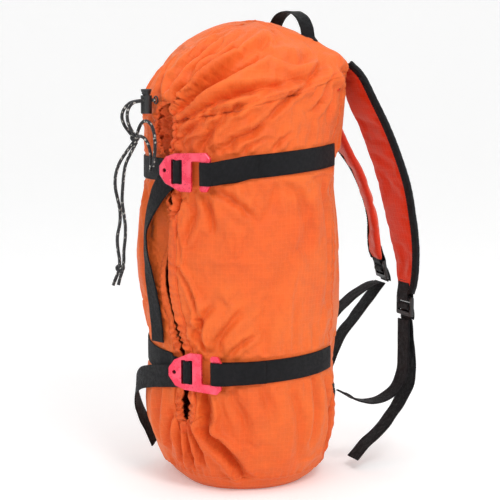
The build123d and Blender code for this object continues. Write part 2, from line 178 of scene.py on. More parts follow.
def bump(tree, height, distance, strength=1.0, normal=None):
    """A bump node's normal."""
    node = tree.nodes.new("ShaderNodeBump")
    tree.links.new(height, node.inputs["Height"])
    node.inputs["Distance"].default_value = distance
    node.inputs["Strength"].default_value = strength
    if normal is not None:
        tree.links.new(normal, node.inputs["Normal"])
    return node.outputs[0]


def noise_value(tree, vector, scale, detail=3.0, roughness=0.55):
    """A noise texture's value."""
    node = put(tree, "ShaderNodeTexNoise", None, Vector=vector, Scale=scale, Detail=detail,
               Roughness=roughness)
    return node.outputs[0]


def stripes(tree, coordinate, pitch, width):
    """1 inside thin lines that repeat at a pitch, 0 between them."""
    phase = maths(tree, "FRACT", maths(tree, "DIVIDE", coordinate, pitch))
    away = maths(tree, "ABSOLUTE", maths(tree, "SUBTRACT", phase, 0.5))
    return ramp(tree, away, 1.0, 0.0, width / pitch * 0.35, width / pitch * 0.75)


def wave(tree, coordinate, pitch):
    """A sine wave that repeats at a pitch."""
    return maths(tree, "SINE", maths(tree, "MULTIPLY", coordinate, 2 * math.pi / pitch))


print("node helpers ready")


# %% [markdown]
# ## Ripstop cloth
# Ripstop nylon is a fine plain weave with a thicker thread every few millimetres. From a step away the
# squares only just show, so the grid is a small bump and a faint change of tone. A slow noise varies the
# colour as the coating and the creases do, and a crinkle bump stands for creases too fine to model.

# %% Ripstop recipe
SQUARE = 0.005
SQUARE_THREAD = 0.0007
PLAIN_THREAD = 0.00045


def ripstop(name, colour, deep, crinkle=1.0):
    """Ripstop nylon of a colour and its deeper tone, more or less crinkled."""
    material, tree, shader = new_material(name)
    coords = tree.nodes.new("ShaderNodeTexCoord")
    uv = put(tree, "ShaderNodeSeparateXYZ", None, Vector=coords.outputs["UV"])
    across = stripes(tree, uv.outputs[0], SQUARE, SQUARE_THREAD)
    along = stripes(tree, uv.outputs[1], SQUARE, SQUARE_THREAD)
    grid = maths(tree, "MAXIMUM", across, along)
    weave = maths(tree, "MULTIPLY", wave(tree, uv.outputs[0], PLAIN_THREAD),
                  wave(tree, uv.outputs[1], PLAIN_THREAD))
    slow = noise_value(tree, coords.outputs["Object"], 9.0, 4.0)
    fine = noise_value(tree, coords.outputs["Object"], 70.0, 6.0, 0.6)
    crease = noise_value(tree, coords.outputs["Object"], 34.0, 3.0, 0.5)
    tone = blend_colours(tree, ramp(tree, slow, 0.0, 1.0, 0.35, 0.68), colour, deep)
    pale = tuple(min(1.0, c * 1.18 + 0.012) for c in colour[:3]) + (1,)
    tone = blend_colours(tree, maths(tree, "MULTIPLY", grid, 0.22), tone, pale)
    shade = ramp(tree, fine, 0.93, 1.05, 0.3, 0.7)
    grey = put(tree, "ShaderNodeCombineColor", None, _0=shade, _1=shade, _2=shade)
    tone = blend_colours(tree, 1.0, tone, grey.outputs[0], "MULTIPLY")
    tree.links.new(tone, shader.inputs["Base Color"])
    folds = bump(tree, crease, 0.0035 * crinkle, 0.55)
    fibres = bump(tree, fine, 0.0007 * crinkle, 0.6, folds)
    squares = bump(tree, grid, 0.00022, 0.8, fibres)
    threads = bump(tree, weave, 0.00006, 0.35, squares)
    tree.links.new(threads, shader.inputs["Normal"])
    tree.links.new(ramp(tree, fine, 0.5, 0.64, 0.3, 0.7), shader.inputs["Roughness"])
    shader.inputs["Sheen Weight"].default_value = 0.25
    shader.inputs["Sheen Roughness"].default_value = 0.45
    shader.inputs["Sheen Tint"].default_value = (1.0, 0.55, 0.3, 1)
    shader.inputs["Specular IOR Level"].default_value = 0.32
    return material


bag_cloth = ripstop("orange_ripstop_cloth", (0.86, 0.150, 0.022, 1), (0.80, 0.112, 0.016, 1))
hem_cloth = ripstop("orange_hem_cloth", (0.86, 0.135, 0.02, 1), (0.74, 0.085, 0.012, 1))
strap_cloth = ripstop("shoulder_strap_cloth", (0.76, 0.032, 0.002, 1), (0.68, 0.024, 0.002, 1), 0.7)
print("cloth finishes:", bag_cloth.name, hem_cloth.name, strap_cloth.name)

# %% [markdown]
# ## Webbing, cord, anodised metal, plastic and the rest
# Webbing is woven with ribs that run across it and a rolled edge each side. The cord's sheath is a black
# braid with white flecks. The hooks are dyed aluminium, brighter where the edge has been tumbled. The
# adjusters and the cord lock are moulded, with a fine spark-eroded grain.

# %% Webbing recipe
WEBBING_WIDTH = 0.025
NARROW_WIDTH = 0.016
TIE_WIDTH = 0.02
RIB = 0.0013
WARP_THREAD = 0.0011


def webbing_finish(name, width, colour, highlight):
    """Ribbed webbing of a width, with rolled edges and a painted highlight on its rib crests."""
    material, tree, shader = new_material(name)
    coords = tree.nodes.new("ShaderNodeTexCoord")
    uv = put(tree, "ShaderNodeSeparateXYZ", None, Vector=coords.outputs["UV"])
    ribs = wave(tree, uv.outputs[1], RIB)
    warp = wave(tree, uv.outputs[0], WARP_THREAD)
    weave = maths(tree, "ADD", ribs, maths(tree, "MULTIPLY", warp, 0.45))
    away = maths(tree, "ABSOLUTE", maths(tree, "SUBTRACT", uv.outputs[0], width / 2))
    edge = ramp(tree, away, 0.0, 1.0, width / 2 - 0.0022, width / 2 - 0.0008)
    lint = noise_value(tree, coords.outputs["Object"], 260.0, 4.0, 0.6)
    patches = noise_value(tree, coords.outputs["Object"], 22.0, 3.0)
    # The rib crests are mixed toward the highlight colour: a painted highlight that follows the rib bump.
    # Slow noise adds random lighter patches of the same colour, and the rolled edges go back to the base
    # colour.
    tone = blend_colours(tree, ramp(tree, weave, 0.0, 0.75, -1.0, 1.3), colour, highlight)
    tone = blend_colours(tree, ramp(tree, patches, 0.0, 0.35, 0.45, 0.75), tone, highlight)
    tone = blend_colours(tree, maths(tree, "MULTIPLY", edge, 0.75), tone, colour)
    tree.links.new(tone, shader.inputs["Base Color"])
    rolled = bump(tree, edge, 0.0004, 0.6)
    woven = bump(tree, weave, 0.00028, 0.9, rolled)
    tree.links.new(bump(tree, lint, 0.0002, 0.4, woven), shader.inputs["Normal"])
    tree.links.new(ramp(tree, lint, 0.55, 0.75, 0.3, 0.7), shader.inputs["Roughness"])
    shader.inputs["Specular IOR Level"].default_value = 0.2
    return material


WEBBING_BLACK = (0.004, 0.004, 0.005, 1)
# The second webbing colour is the painted highlight on the rib crests and also the tone of the random lighter
# patches.
WEBBING_RIB_HIGHLIGHT_AND_PATCH_GREY = (0.014, 0.014, 0.017, 1)
black_webbing = webbing_finish("black_ribbed_webbing", WEBBING_WIDTH, WEBBING_BLACK, WEBBING_RIB_HIGHLIGHT_AND_PATCH_GREY)
narrow_webbing = webbing_finish("narrow_ribbed_webbing", NARROW_WIDTH, WEBBING_BLACK, WEBBING_RIB_HIGHLIGHT_AND_PATCH_GREY)
blue_webbing = webbing_finish("tie_loop_webbing", TIE_WIDTH, (0.035, 0.03, 0.13, 1), (0.07, 0.06, 0.22, 1))
print("webbing finishes:", black_webbing.name, narrow_webbing.name, blue_webbing.name)


# %% Cord recipe
BRAID_PITCH = 0.0036
BRAID_STRANDS = 4


def cord_finish(name):
    """A black braided sheath with white flecks, its braid crests painted lighter and its grooves painted
    darker.
    """
    material, tree, shader = new_material(name)
    coords = tree.nodes.new("ShaderNodeTexCoord")
    uv = put(tree, "ShaderNodeSeparateXYZ", None, Vector=coords.outputs["UV"])
    turn = maths(tree, "MULTIPLY", uv.outputs[0], 2 * math.pi * BRAID_STRANDS)
    run = maths(tree, "MULTIPLY", uv.outputs[1], 2 * math.pi / BRAID_PITCH)
    left = maths(tree, "SINE", maths(tree, "ADD", turn, run))
    right = maths(tree, "SINE", maths(tree, "SUBTRACT", turn, run))
    braid = maths(tree, "MULTIPLY", left, right)
    flat = put(tree, "ShaderNodeCombineXYZ", None, X=maths(tree, "MULTIPLY", uv.outputs[0], 0.011),
               Y=maths(tree, "MULTIPLY", uv.outputs[1], 0.8))
    cells = put(tree, "ShaderNodeTexVoronoi", None, Vector=flat.outputs[0], Scale=420.0, Randomness=0.8)
    chance = put(tree, "ShaderNodeSeparateColor", None, _0=cells.outputs["Color"])
    picked = ramp(tree, chance.outputs[0], 0.0, 1.0, 0.66, 0.7)
    inside = ramp(tree, cells.outputs["Distance"], 1.0, 0.0, 0.35, 0.55)
    fleck = maths(tree, "MULTIPLY", picked, inside)
    # The braid's crests are painted lighter and its grooves darker, on the black yarn and on the flecks
    # alike: painted highlight and painted shade that follow the braid bump.
    shade = ramp(tree, braid, 0.0, 1.0, -0.4, 1.0)
    dark = blend_colours(tree, shade, (0.006, 0.006, 0.008, 1), (0.03, 0.03, 0.034, 1))
    light = blend_colours(tree, shade, (0.42, 0.40, 0.36, 1), (0.82, 0.80, 0.74, 1))
    tree.links.new(blend_colours(tree, fleck, dark, light), shader.inputs["Base Color"])
    tree.links.new(bump(tree, braid, 0.0005, 0.9), shader.inputs["Normal"])
    shader.inputs["Roughness"].default_value = 0.62
    shader.inputs["Sheen Weight"].default_value = 0.15
    return material


flecked_cord = cord_finish("flecked_black_cord")
print("cord finish:", flecked_cord.name)


# %% Hard finishes
def hard_finish(name, colour, roughness, grain_scale, grain_depth, metallic=0.0, second=None):
    """A hard surface with a fine grain and worn patches of a second tone."""
    material, tree, shader = new_material(name)
    coords = tree.nodes.new("ShaderNodeTexCoord")
    grain = noise_value(tree, coords.outputs["Object"], grain_scale, 5.0, 0.6)
    wear = noise_value(tree, coords.outputs["Object"], grain_scale * 0.12, 3.0)
    tone = blend_colours(tree, ramp(tree, wear, 0.0, 1.0, 0.4, 0.7), colour, second or colour)
    tree.links.new(tone, shader.inputs["Base Color"])
    worn = ramp(tree, wear, roughness - 0.05, roughness + 0.08, 0.35, 0.65)
    tree.links.new(worn, shader.inputs["Roughness"])
    tree.links.new(bump(tree, grain, grain_depth, 0.5), shader.inputs["Normal"])
    shader.inputs["Metallic"].default_value = metallic
    return material


def set_socket(material, socket, value):
    """Sets one constant on a material's shader."""
    material.node_tree.nodes["Principled BSDF"].inputs[socket].default_value = value


hook_metal = hard_finish("red_anodised_aluminium", (0.88, 0.040, 0.095, 1), 0.26, 900, 0.00002, 0.6,
                         (1.0, 0.10, 0.17, 1))
set_socket(hook_metal, "Coat Weight", 0.35)
set_socket(hook_metal, "Coat Roughness", 0.18)
black_plastic = hard_finish("black_moulded_plastic", (0.012, 0.012, 0.013, 1), 0.42, 1400, 0.00006, 0,
                            (0.02, 0.02, 0.022, 1))
spring_steel = hard_finish("spring_steel_wire", (0.55, 0.56, 0.58, 1), 0.28, 700, 0.00003, 1)
elastic_rubber = hard_finish("hem_elastic_rubber", (0.02, 0.02, 0.02, 1), 0.7, 600, 0.0001)
foam_finish = hard_finish("strap_foam", (0.05, 0.05, 0.055, 1), 0.85, 500, 0.0003)
thread_finish = hard_finish("orange_thread", (0.75, 0.10, 0.02, 1), 0.6, 2500, 0.00008, 0,
                            (0.86, 0.16, 0.03, 1))
black_thread = hard_finish("black_thread", (0.02, 0.02, 0.022, 1), 0.6, 2500, 0.00008)
floor_finish = hard_finish("pale_floor", (0.95, 0.95, 0.95, 1), 0.7, 60, 0.0001)
set_socket(floor_finish, "Emission Color", (1, 1, 1, 1))
set_socket(floor_finish, "Emission Strength", 0.165)
print("finishes:", len(bpy.data.materials))

# %% [markdown]
# Every solid of the CAD model gets the finish of its slot. The hooks and the ladder locks stay in view, so
# their edges are tumbled: a small bevel that catches the light.

# %% Dress the CAD model
SLOT_FINISH = {
    "orange_ripstop": bag_cloth, "strap_fabric": strap_cloth, "black_webbing": black_webbing,
    "blue_webbing": blue_webbing, "flecked_cord": flecked_cord, "anodised_aluminium": hook_metal,
    "black_plastic": black_plastic, "elastic": elastic_rubber, "foam": foam_finish,
    "spring_steel": spring_steel,
}
TUMBLED_EDGE = {"anodised_aluminium": 0.0007, "black_plastic": 0.0003}
for part in frame["record"]["subparts"]:
    node = frame["nodes"][part["node"]]
    slot = part["material_slot"]
    node.data.materials.clear()
    node.data.materials.append(SLOT_FINISH[slot])
    if slot in TUMBLED_EDGE:
        tumbled = node.modifiers.new("tumbled_edge", "BEVEL")
        tumbled.width = TUMBLED_EDGE[slot]
        tumbled.segments = 3
        tumbled.limit_method = "ANGLE"
        tumbled.angle_limit = math.radians(40)


# %% [markdown]
# ## The bag's cloth
# The cloth is one tube with a closed base and a domed top, open down the front along a wandering slit that
# widens into the mouth. A grid of quads follows that form. Its columns run up the bag and its rows round it,
# and both are laid so that every seam falls on a grid line: the side seams on two columns, the base seam on a
# row and the slanting top seam on another. Columns are closer together near the slit, where the elastic
# gathers the cloth.

# %% Small helpers
def smooth(value, low, high):
    """0 below low, 1 above high, a smooth step between."""
    t = np.clip((value - low) / (high - low), 0, 1)
    return t * t * (3 - 2 * t)


def hump(value, centre, width):
    """A soft bump of height 1."""
    return np.exp(-((value - centre) / width) ** 2)


def unit(vectors):
    """Vectors, one or many rows of them, brought to length 1."""
    return vectors / np.linalg.norm(vectors, axis=-1, keepdims=True)


def polar(angle, radius, height):
    """The point at an angle in degrees round the bag's axis."""
    return np.array([radius * math.cos(math.radians(angle)), radius * math.sin(math.radians(angle)), height])


def run_along(line):
    """How far along a line of points each point lies."""
    return np.concatenate([[0], np.cumsum(np.linalg.norm(np.diff(line, axis=0), axis=1))])


def square_to(vectors, ahead):
    """Vectors turned square to the directions ahead, at length 1."""
    return unit(vectors - ahead * np.sum(vectors * ahead, axis=1, keepdims=True))


print("helpers ready")

# %% The bag's form
FRONT_SEAM = -68
RIGHT_SEAM = 47
LEFT_SEAM = 133
BASE_SEAM = 0.016
TOP_SEAM = 0.420
TOP_SEAM_TILT = math.tan(math.radians(14.5))
MOUTH_ANGLE = -73.5
MOUTH_LEVEL = 0.388
MOUTH_HALF = (0.0160, 0.028)
DOME_LEVEL = 0.370
DOME_RADIUS = 0.125
DOME_BACK = 0.014
SLIT_FOOT = 0.074
SLIT_LINE = [(0.0, -60), (0.074, -60), (0.114, -59.5), (0.148, -61.5), (0.172, -65.5), (0.203, -71),
             (0.234, -72.5), (0.280, -71.5), (0.322, -69), (0.350, -70.5), (0.388, MOUTH_ANGLE),
             (0.5, MOUTH_ANGLE)]
MAP_RADIUS = 0.106


def slit_angle(z):
    """The slit's angle in degrees at a height."""
    heights, angles = zip(*SLIT_LINE)
    return sum(np.interp(z + shift, heights, angles) for shift in (-0.012, -0.006, 0, 0.006, 0.012)) / 5


def slit_gap(z):
    """Half the opening's width at a height: a narrow slit, pinched by the straps, then the mouth."""
    body = 0.0030 + 0.0016 * hump(z, 0.24, 0.05) + 0.0024 * hump(z, 0.095, 0.018)
    body = body * (1 - 0.5 * hump(z, 0.138, 0.018)) * (1 - 0.5 * hump(z, 0.344, 0.02))
    body = body * smooth(z, SLIT_FOOT, SLIT_FOOT + 0.012)
    reach = np.clip(1 - ((z - MOUTH_LEVEL) / MOUTH_HALF[1]) ** 2, 0, 1)
    return np.maximum(body * (z < MOUTH_LEVEL), MOUTH_HALF[0] * np.sqrt(reach))


def wall_radius(z):
    """The bag's radius between base and shoulder, without folds."""
    points = [(0, 0.075), (0.006, 0.0835), (0.015, 0.0895), (0.03, 0.0955), (0.06, 0.1005), (0.09, 0.1010),
              (0.16, 0.1010), (0.185, 0.1045), (0.215, 0.107), (0.25, 0.1083), (0.285, 0.107), (0.32, 0.1040),
              (0.38, 0.1040), (0.40, 0.1062), (0.42, 0.108), (0.50, 0.108)]
    return np.interp(z, [p[0] for p in points], [p[1] for p in points])


def foot_tuck(theta, z):
    """Scale of the radius near the base: the front left of the foot is tucked under."""
    turned = (theta + 270) % 360 - 270
    return 1 - (0.135 * hump(turned, -92, 36) + 0.03 * hump(turned, 40, 30)) * (1 - smooth(z, 0.006, 0.090))


def strap_hold(theta, z):
    """How firmly the straps press the cloth at a place: 1 under the webbing, 0 away from it."""
    turned = (theta + 180) % 360 - 180
    upper = np.where((turned > -60) & (turned < 60), 0.3486 + 0.0089 * np.cos(np.radians(turned - 65)),
                     0.342 + 0.003 * np.cos(np.radians(turned + 30)))
    lower = np.where((turned > -56) & (turned < 60), 0.1334 + 0.004 * np.cos(np.radians(turned - 75)),
                     0.138 + 0.009 * np.cos(np.radians(turned - 190)))
    sewn = 1 - smooth(np.abs((turned - 90 + 180) % 360 - 180), 47, 43)
    near = np.minimum(np.abs(z - upper), np.abs(z - lower))
    return (1 - smooth(near, 0.0125, 0.0165)) * sewn


print("the form is set: the mouth is", round(MOUTH_HALF[0] * 2000), "mm wide")

# %% Columns and the dome
RIGHT_COLUMNS = 64
BACK_COLUMNS = 30
LEFT_COLUMNS = 78
CROWDING = 1.35
right_arc = RIGHT_SEAM - FRONT_SEAM
left_arc = 360 + FRONT_SEAM - LEFT_SEAM
column_turn = np.concatenate([
    right_arc * np.linspace(0, 1, RIGHT_COLUMNS, endpoint=False) ** CROWDING,
    np.linspace(right_arc, LEFT_SEAM - FRONT_SEAM, BACK_COLUMNS, endpoint=False),
    360 - left_arc * np.linspace(1, 0, LEFT_COLUMNS + 1) ** CROWDING,
])
COLUMNS = len(column_turn)
right_seam_column = RIGHT_COLUMNS
left_seam_column = RIGHT_COLUMNS + BACK_COLUMNS
base_radii = np.linspace(0.006, 0.0745, 10)
wall_heights = np.concatenate([np.linspace(0.001, BASE_SEAM, 6, endpoint=False),
                               np.linspace(BASE_SEAM, DOME_LEVEL, 120)])
SEAM_ROWS = 16
CROWN_ROWS = 40


def column_angles(z, gap_angle):
    """The angle of every column on a row, given the row's height at the slit and half its gap in degrees."""
    right = column_turn
    left = 360 - column_turn
    shift = float(slit_angle(z)) - FRONT_SEAM
    lean = (1 - smooth(right, 0, 70)) + (1 - smooth(left, 0, 70))
    spread = (1 - smooth(right, 0, 45)) - (1 - smooth(left, 0, 45))
    return FRONT_SEAM + column_turn + shift * lean + gap_angle * spread


def dome_point(theta, lift):
    """Points of the domed top: lift is 0 at the dome's level and 90 degrees at its pole."""
    up = np.sin(lift)
    out = np.cos(lift)
    centre = DOME_BACK * up
    a = np.cos(theta) * out
    b = np.sin(theta) * out
    offset = centre - DOME_BACK
    half = b * offset
    far = -half + np.sqrt(half ** 2 - (offset ** 2 - DOME_RADIUS ** 2))
    level = DOME_LEVEL + far * up
    limit = wall_radius(level)
    q = b * centre
    inside = np.maximum(q ** 2 - out ** 2 * (centre ** 2 - limit ** 2), 0)
    side = (-q + np.sqrt(inside)) / np.maximum(out ** 2, 1e-6)
    reach = -np.log(np.exp(-far * 260) + np.exp(-side * 260)) / 260
    return np.stack([a * reach, centre + b * reach, DOME_LEVEL + up * reach], -1)


def seam_lift(theta):
    """The lift at which the dome meets the slanting top seam, by halving."""
    low = np.zeros_like(theta)
    high = np.full_like(theta, math.radians(80))
    for _ in range(22):
        middle = (low + high) / 2
        place = dome_point(theta, middle)
        above = place[:, 2] > TOP_SEAM + TOP_SEAM_TILT * place[:, 1]
        high = np.where(above, middle, high)
        low = np.where(above, low, middle)
    return (low + high) / 2


print(COLUMNS, "columns round the bag")

# %% Weave the grid
rows, row_theta = [], []
for radius in base_radii:
    theta = column_angles(0.0, 0.0)
    angle = np.radians(theta)
    tucked = radius * foot_tuck(theta, 0.0)
    rows.append(np.stack([tucked * np.cos(angle), tucked * np.sin(angle), np.zeros(COLUMNS)], -1))
    row_theta.append(theta)
for z in wall_heights:
    radius = float(wall_radius(z))
    theta = column_angles(z, math.degrees(float(slit_gap(z)) / radius))
    angle = np.radians(theta)
    tucked = radius * foot_tuck(theta, z)
    rows.append(np.stack([tucked * np.cos(angle), tucked * np.sin(angle), np.full(COLUMNS, z)], -1))
    row_theta.append(theta)
front_lift = float(seam_lift(np.radians(np.array([MOUTH_ANGLE])))[0])
crown_lift = math.radians(88.5)
for number in range(1, SEAM_ROWS + CROWN_ROWS + 1):
    lower = min(number / SEAM_ROWS, 1)
    upper = max(number - SEAM_ROWS, 0) / CROWN_ROWS
    slit_lift = front_lift * lower + (crown_lift - front_lift) * upper
    level = DOME_LEVEL + 0.117 * math.sin(slit_lift)
    theta = column_angles(level, math.degrees(float(slit_gap(level)) / MAP_RADIUS))
    angle = np.radians(theta)
    seam = seam_lift(angle)
    rows.append(dome_point(angle, seam * lower + (crown_lift - seam) * upper))
    row_theta.append(theta)
grid = np.array(rows)
theta_grid = np.array(row_theta)
first_wall = len(base_radii)
base_seam_row = first_wall + 6
last_wall = first_wall + len(wall_heights)
top_seam_row = last_wall + SEAM_ROWS - 1
row_count = len(grid)
print("grid of", row_count, "rows and", COLUMNS, "columns, with the top seam on row", top_seam_row)


# %% [markdown]
# The folds that give this bag its character are set one by one, each as a crease along a line: where the
# mouth's cord draws the cloth together, where the hooks pull on it, under the straps, and where the base is
# rounded off. A crease is a groove with a soft ridge on each side. One wide hollow beside the slit is where
# the left lip sinks behind the right one.

# %% Listed creases
SURFACE_RADIUS = 0.105


def crease(theta, z, start, end, width, depth, ridge=0.55):
    """The push, in metres, of one crease between two (angle, height) places."""
    ax, ay = math.radians(start[0]) * SURFACE_RADIUS, start[1]
    bx, by = math.radians(end[0]) * SURFACE_RADIUS, end[1]
    x = np.radians(theta) * SURFACE_RADIUS
    dx, dy = bx - ax, by - ay
    length = math.hypot(dx, dy)
    along = ((x - ax) * dx + (z - ay) * dy) / length ** 2
    bow = 0.06 * length * np.sin(np.pi * np.clip(along, 0, 1))
    beside = np.abs(((x - ax) * dy - (z - ay) * dx) / length + bow)
    past = np.maximum(np.maximum(-along, along - 1), 0) * length
    fade = np.exp(-(past / (width * 1.2)) ** 2) * (0.6 + 0.4 * np.sin(np.pi * np.clip(along, 0, 1)))
    groove = -np.exp(-(beside / width) ** 2)
    flank = ridge * np.exp(-((beside - 2.0 * width) / (1.1 * width)) ** 2)
    return depth * fade * (groove + flank)


CREASES = [
    # from the mouth up over the shoulder
    ((-68, 0.416), (-38, 0.466), 0.0038, 0.0100), ((-62, 0.408), (-18, 0.460), 0.0045, 0.0115),
    ((-60, 0.396), (-8, 0.434), 0.0040, 0.0115), ((-57, 0.388), (-28, 0.412), 0.0036, 0.0085),
    ((-66, 0.420), (-52, 0.474), 0.0034, 0.0070),
    ((-76, 0.420), (-66, 0.476), 0.0045, 0.0070), ((-84, 0.416), (-92, 0.462), 0.0050, 0.0060),
    ((-92, 0.404), (-112, 0.436), 0.0050, 0.0055), ((-60, 0.380), (-46, 0.392), 0.0032, 0.0050),
    ((-40, 0.440), (-2, 0.474), 0.0060, 0.0060), ((-30, 0.424), (10, 0.446), 0.0070, 0.0050),
    ((-56, 0.446), (-40, 0.480), 0.0050, 0.0050), ((-42, 0.394), (30, 0.452), 0.0034, 0.0056),
    ((-20, 0.381), (14, 0.437), 0.0034, 0.0048), ((-52, 0.428), (-10, 0.478), 0.0034, 0.0065),
    # from the pinch at the right of the top
    ((30, 0.455), (6, 0.436), 0.0045, 0.0075), ((32, 0.446), (20, 0.408), 0.0042, 0.0065),
    ((28, 0.462), (-8, 0.460), 0.0050, 0.0060), ((36, 0.448), (56, 0.432), 0.0050, 0.0055),
    ((34, 0.440), (34, 0.396), 0.0045, 0.0045),
    # hooks and straps
    ((-40, 0.326), (-18, 0.296), 0.0042, 0.0045), ((-52, 0.322), (-58, 0.270), 0.0042, 0.0060),
    ((-46, 0.322), (-42, 0.285), 0.0038, 0.0045), ((-62, 0.312), (-66, 0.296), 0.0028, 0.0050),
    ((-36, 0.366), (-10, 0.392), 0.0045, 0.0055), ((-48, 0.366), (-36, 0.398), 0.0038, 0.0055),
    ((-24, 0.364), (-14, 0.378), 0.0030, 0.0040), ((-6, 0.366), (2, 0.382), 0.0030, 0.0035),
    ((-52, 0.158), (-44, 0.200), 0.0042, 0.0055), ((-40, 0.156), (-26, 0.196), 0.0045, 0.0050),
    ((-44, 0.154), (-54, 0.182), 0.0030, 0.0045), ((-30, 0.154), (-18, 0.170), 0.0030, 0.0038),
    ((-62, 0.240), (-47, 0.158), 0.0022, 0.0050), ((-64, 0.290), (-62, 0.240), 0.0018, 0.0022),
    ((-98, 0.322), (-92, 0.270), 0.0055, 0.0050), ((-104, 0.290), (-98, 0.200), 0.0060, 0.0040),
    # the deep fold below the lower hook, and the others round the foot
    ((-48, 0.114), (-47, 0.066), 0.0052, 0.0135), ((-47, 0.066), (-24, 0.022), 0.0050, 0.0125),
    ((-57, 0.072), (-50, 0.034), 0.0034, 0.0070), ((-61, 0.070), (-60, 0.026), 0.0036, 0.0075),
    ((-66, 0.072), (-70, 0.026), 0.0036, 0.0065), ((-72, 0.084), (-82, 0.040), 0.0045, 0.0060),
    ((-30, 0.112), (-22, 0.060), 0.0055, 0.0045), ((-84, 0.108), (-92, 0.050), 0.0060, 0.0060),
    ((-12, 0.112), (-6, 0.074), 0.0055, 0.0030),
    ((8, 0.112), (14, 0.040), 0.0065, 0.0045), ((26, 0.116), (24, 0.052), 0.0055, 0.0055),
    ((40, 0.112), (44, 0.036), 0.0050, 0.0055), ((52, 0.112), (60, 0.040), 0.0055, 0.0050),
    # long soft folds on the sides and the back
    ((34, 0.322), (40, 0.205), 0.0070, 0.0035), ((10, 0.318), (18, 0.252), 0.0085, 0.0028),
    ((-14, 0.166), (10, 0.262), 0.0090, 0.0030), ((-4, 0.322), (-14, 0.290), 0.0060, 0.0026),
    ((150, 0.325), (160, 0.190), 0.0070, 0.0045),
    ((185, 0.165), (178, 0.300), 0.0080, 0.0045), ((215, 0.320), (228, 0.215), 0.0065, 0.0050),
    ((250, 0.170), (244, 0.280), 0.0070, 0.0045), ((165, 0.400), (185, 0.450), 0.0070, 0.0060),
    ((215, 0.390), (205, 0.450), 0.0060, 0.0060), ((250, 0.395), (240, 0.440), 0.0055, 0.0060),
    ((120, 0.430), (135, 0.395), 0.0060, 0.0040), ((200, 0.112), (206, 0.040), 0.0060, 0.0060),
    ((150, 0.112), (156, 0.050), 0.0060, 0.0050), ((236, 0.112), (230, 0.045), 0.0060, 0.0060),
]


print(len(CREASES), "creases set")


# %% Push the creases in
def folds(theta, z):
    """All the listed creases, the hollow beside the slit and the gathers beside each strap."""
    turned = (theta + 110) % 360 - 110
    push = np.zeros_like(turned)
    for start, end, width, depth in CREASES:
        push += crease(turned, z, start, end, width, depth)
    push -= 0.015 * hump(turned, -79.5, 7.5) * hump(z, 0.277, 0.036) * (turned < slit_angle(z) + 1)
    push -= 0.004 * hump(turned, -74, 7) * hump(z, 0.190, 0.03) * (turned < slit_angle(z))
    push += 0.010 * hump(turned, 45, 15) * hump(z, 0.446, 0.016)
    push -= 0.004 * hump(turned, 22, 9) * hump(z, 0.462, 0.01)
    for level, reach in ((0.346, 0.026), (0.136, 0.024)):
        away = np.abs(z - level) - 0.0125
        band = smooth(away, 0.0005, 0.007) * np.exp(-np.maximum(away, 0) / reach)
        wave = np.sin(np.radians(turned) * 34 + 2.1 * np.sin(np.radians(turned) * 5 + level * 40))
        wave += 0.7 * np.sin(np.radians(turned) * 53 + 1.7 * np.sin(np.radians(turned) * 3 + 2))
        push += 0.0012 * band * wave
    return push


def grid_normals(points):
    """Outward directions over the grid."""
    normals = np.cross(np.gradient(points, axis=1), np.gradient(points, axis=0))
    return normals / np.maximum(np.linalg.norm(normals, axis=2, keepdims=True), 1e-9)


def strap_clearance(points, theta):
    """Pulls points in under the webbing where a strap lies, so that the cloth never shows through it."""
    held = strap_hold(theta, points[:, :, 2])
    limit = np.where(points[:, :, 2] > 0.25, 0.1038, 0.1008)
    radius = np.maximum(np.hypot(points[:, :, 0], points[:, :, 1]), 1e-9)
    inward = np.minimum(1, limit / radius)
    factor = 1 - (1 - inward) * held
    points[:, :, 0] *= factor
    points[:, :, 1] *= factor
    return points


height_grid = grid[:, :, 2]
push = folds(theta_grid, height_grid)
push[:first_wall] = 0
ease = smooth(np.arange(row_count), first_wall, first_wall + 5)[:, None]
hold = strap_hold(theta_grid, height_grid)
hold[:first_wall] = 0
push = push * ease * (1 - hold) * smooth(row_count - np.arange(row_count), 0, 10)[:, None]
grid = grid + grid_normals(grid) * push[:, :, None]
print("deepest fold", round(float(-push.min()) * 1000, 1), "mm")


# %% [markdown]
# The grid becomes one mesh: quads between neighbouring rows and columns, and a fan at the base and the crown.
# Where the slit is shut, its last column is its first, so the mesh is open only along the slit and the mouth.

# %% One mesh from the grid
def mesh_object(name, points, faces, finish, corner_map=None):
    """A mesh object at the origin, with one finish, smooth faces and an optional map per corner."""
    mesh = bpy.data.meshes.new(name)
    mesh.from_pydata([tuple(p) for p in points], [], faces)
    if corner_map is not None:
        layer = mesh.uv_layers.new(name="cloth_map")
        layer.data.foreach_set("uv", np.asarray(corner_map, dtype=np.float32).ravel())
    mesh.polygons.foreach_set("use_smooth", [True] * len(mesh.polygons))
    mesh.materials.append(finish)
    mesh.update()
    piece = bpy.data.objects.new(name, mesh)
    bpy.context.scene.collection.objects.link(piece)
    return piece


def select_only(piece):
    """Makes one piece the selected and active object."""
    bpy.ops.object.select_all(action="DESELECT")
    piece.select_set(True)
    bpy.context.view_layer.objects.active = piece


def apply_all(piece):
    """Applies a piece's modifiers, in order."""
    select_only(piece)
    for modifier in list(piece.modifiers):
        bpy.ops.object.modifier_apply(modifier=modifier.name)


def turn_outward(piece):
    """Recalculates a piece's normals so that they face out."""
    select_only(piece)
    bpy.ops.object.mode_set(mode="EDIT")
    bpy.ops.mesh.select_all(action="SELECT")
    bpy.ops.mesh.normals_make_consistent(inside=False)
    bpy.ops.object.mode_set(mode="OBJECT")


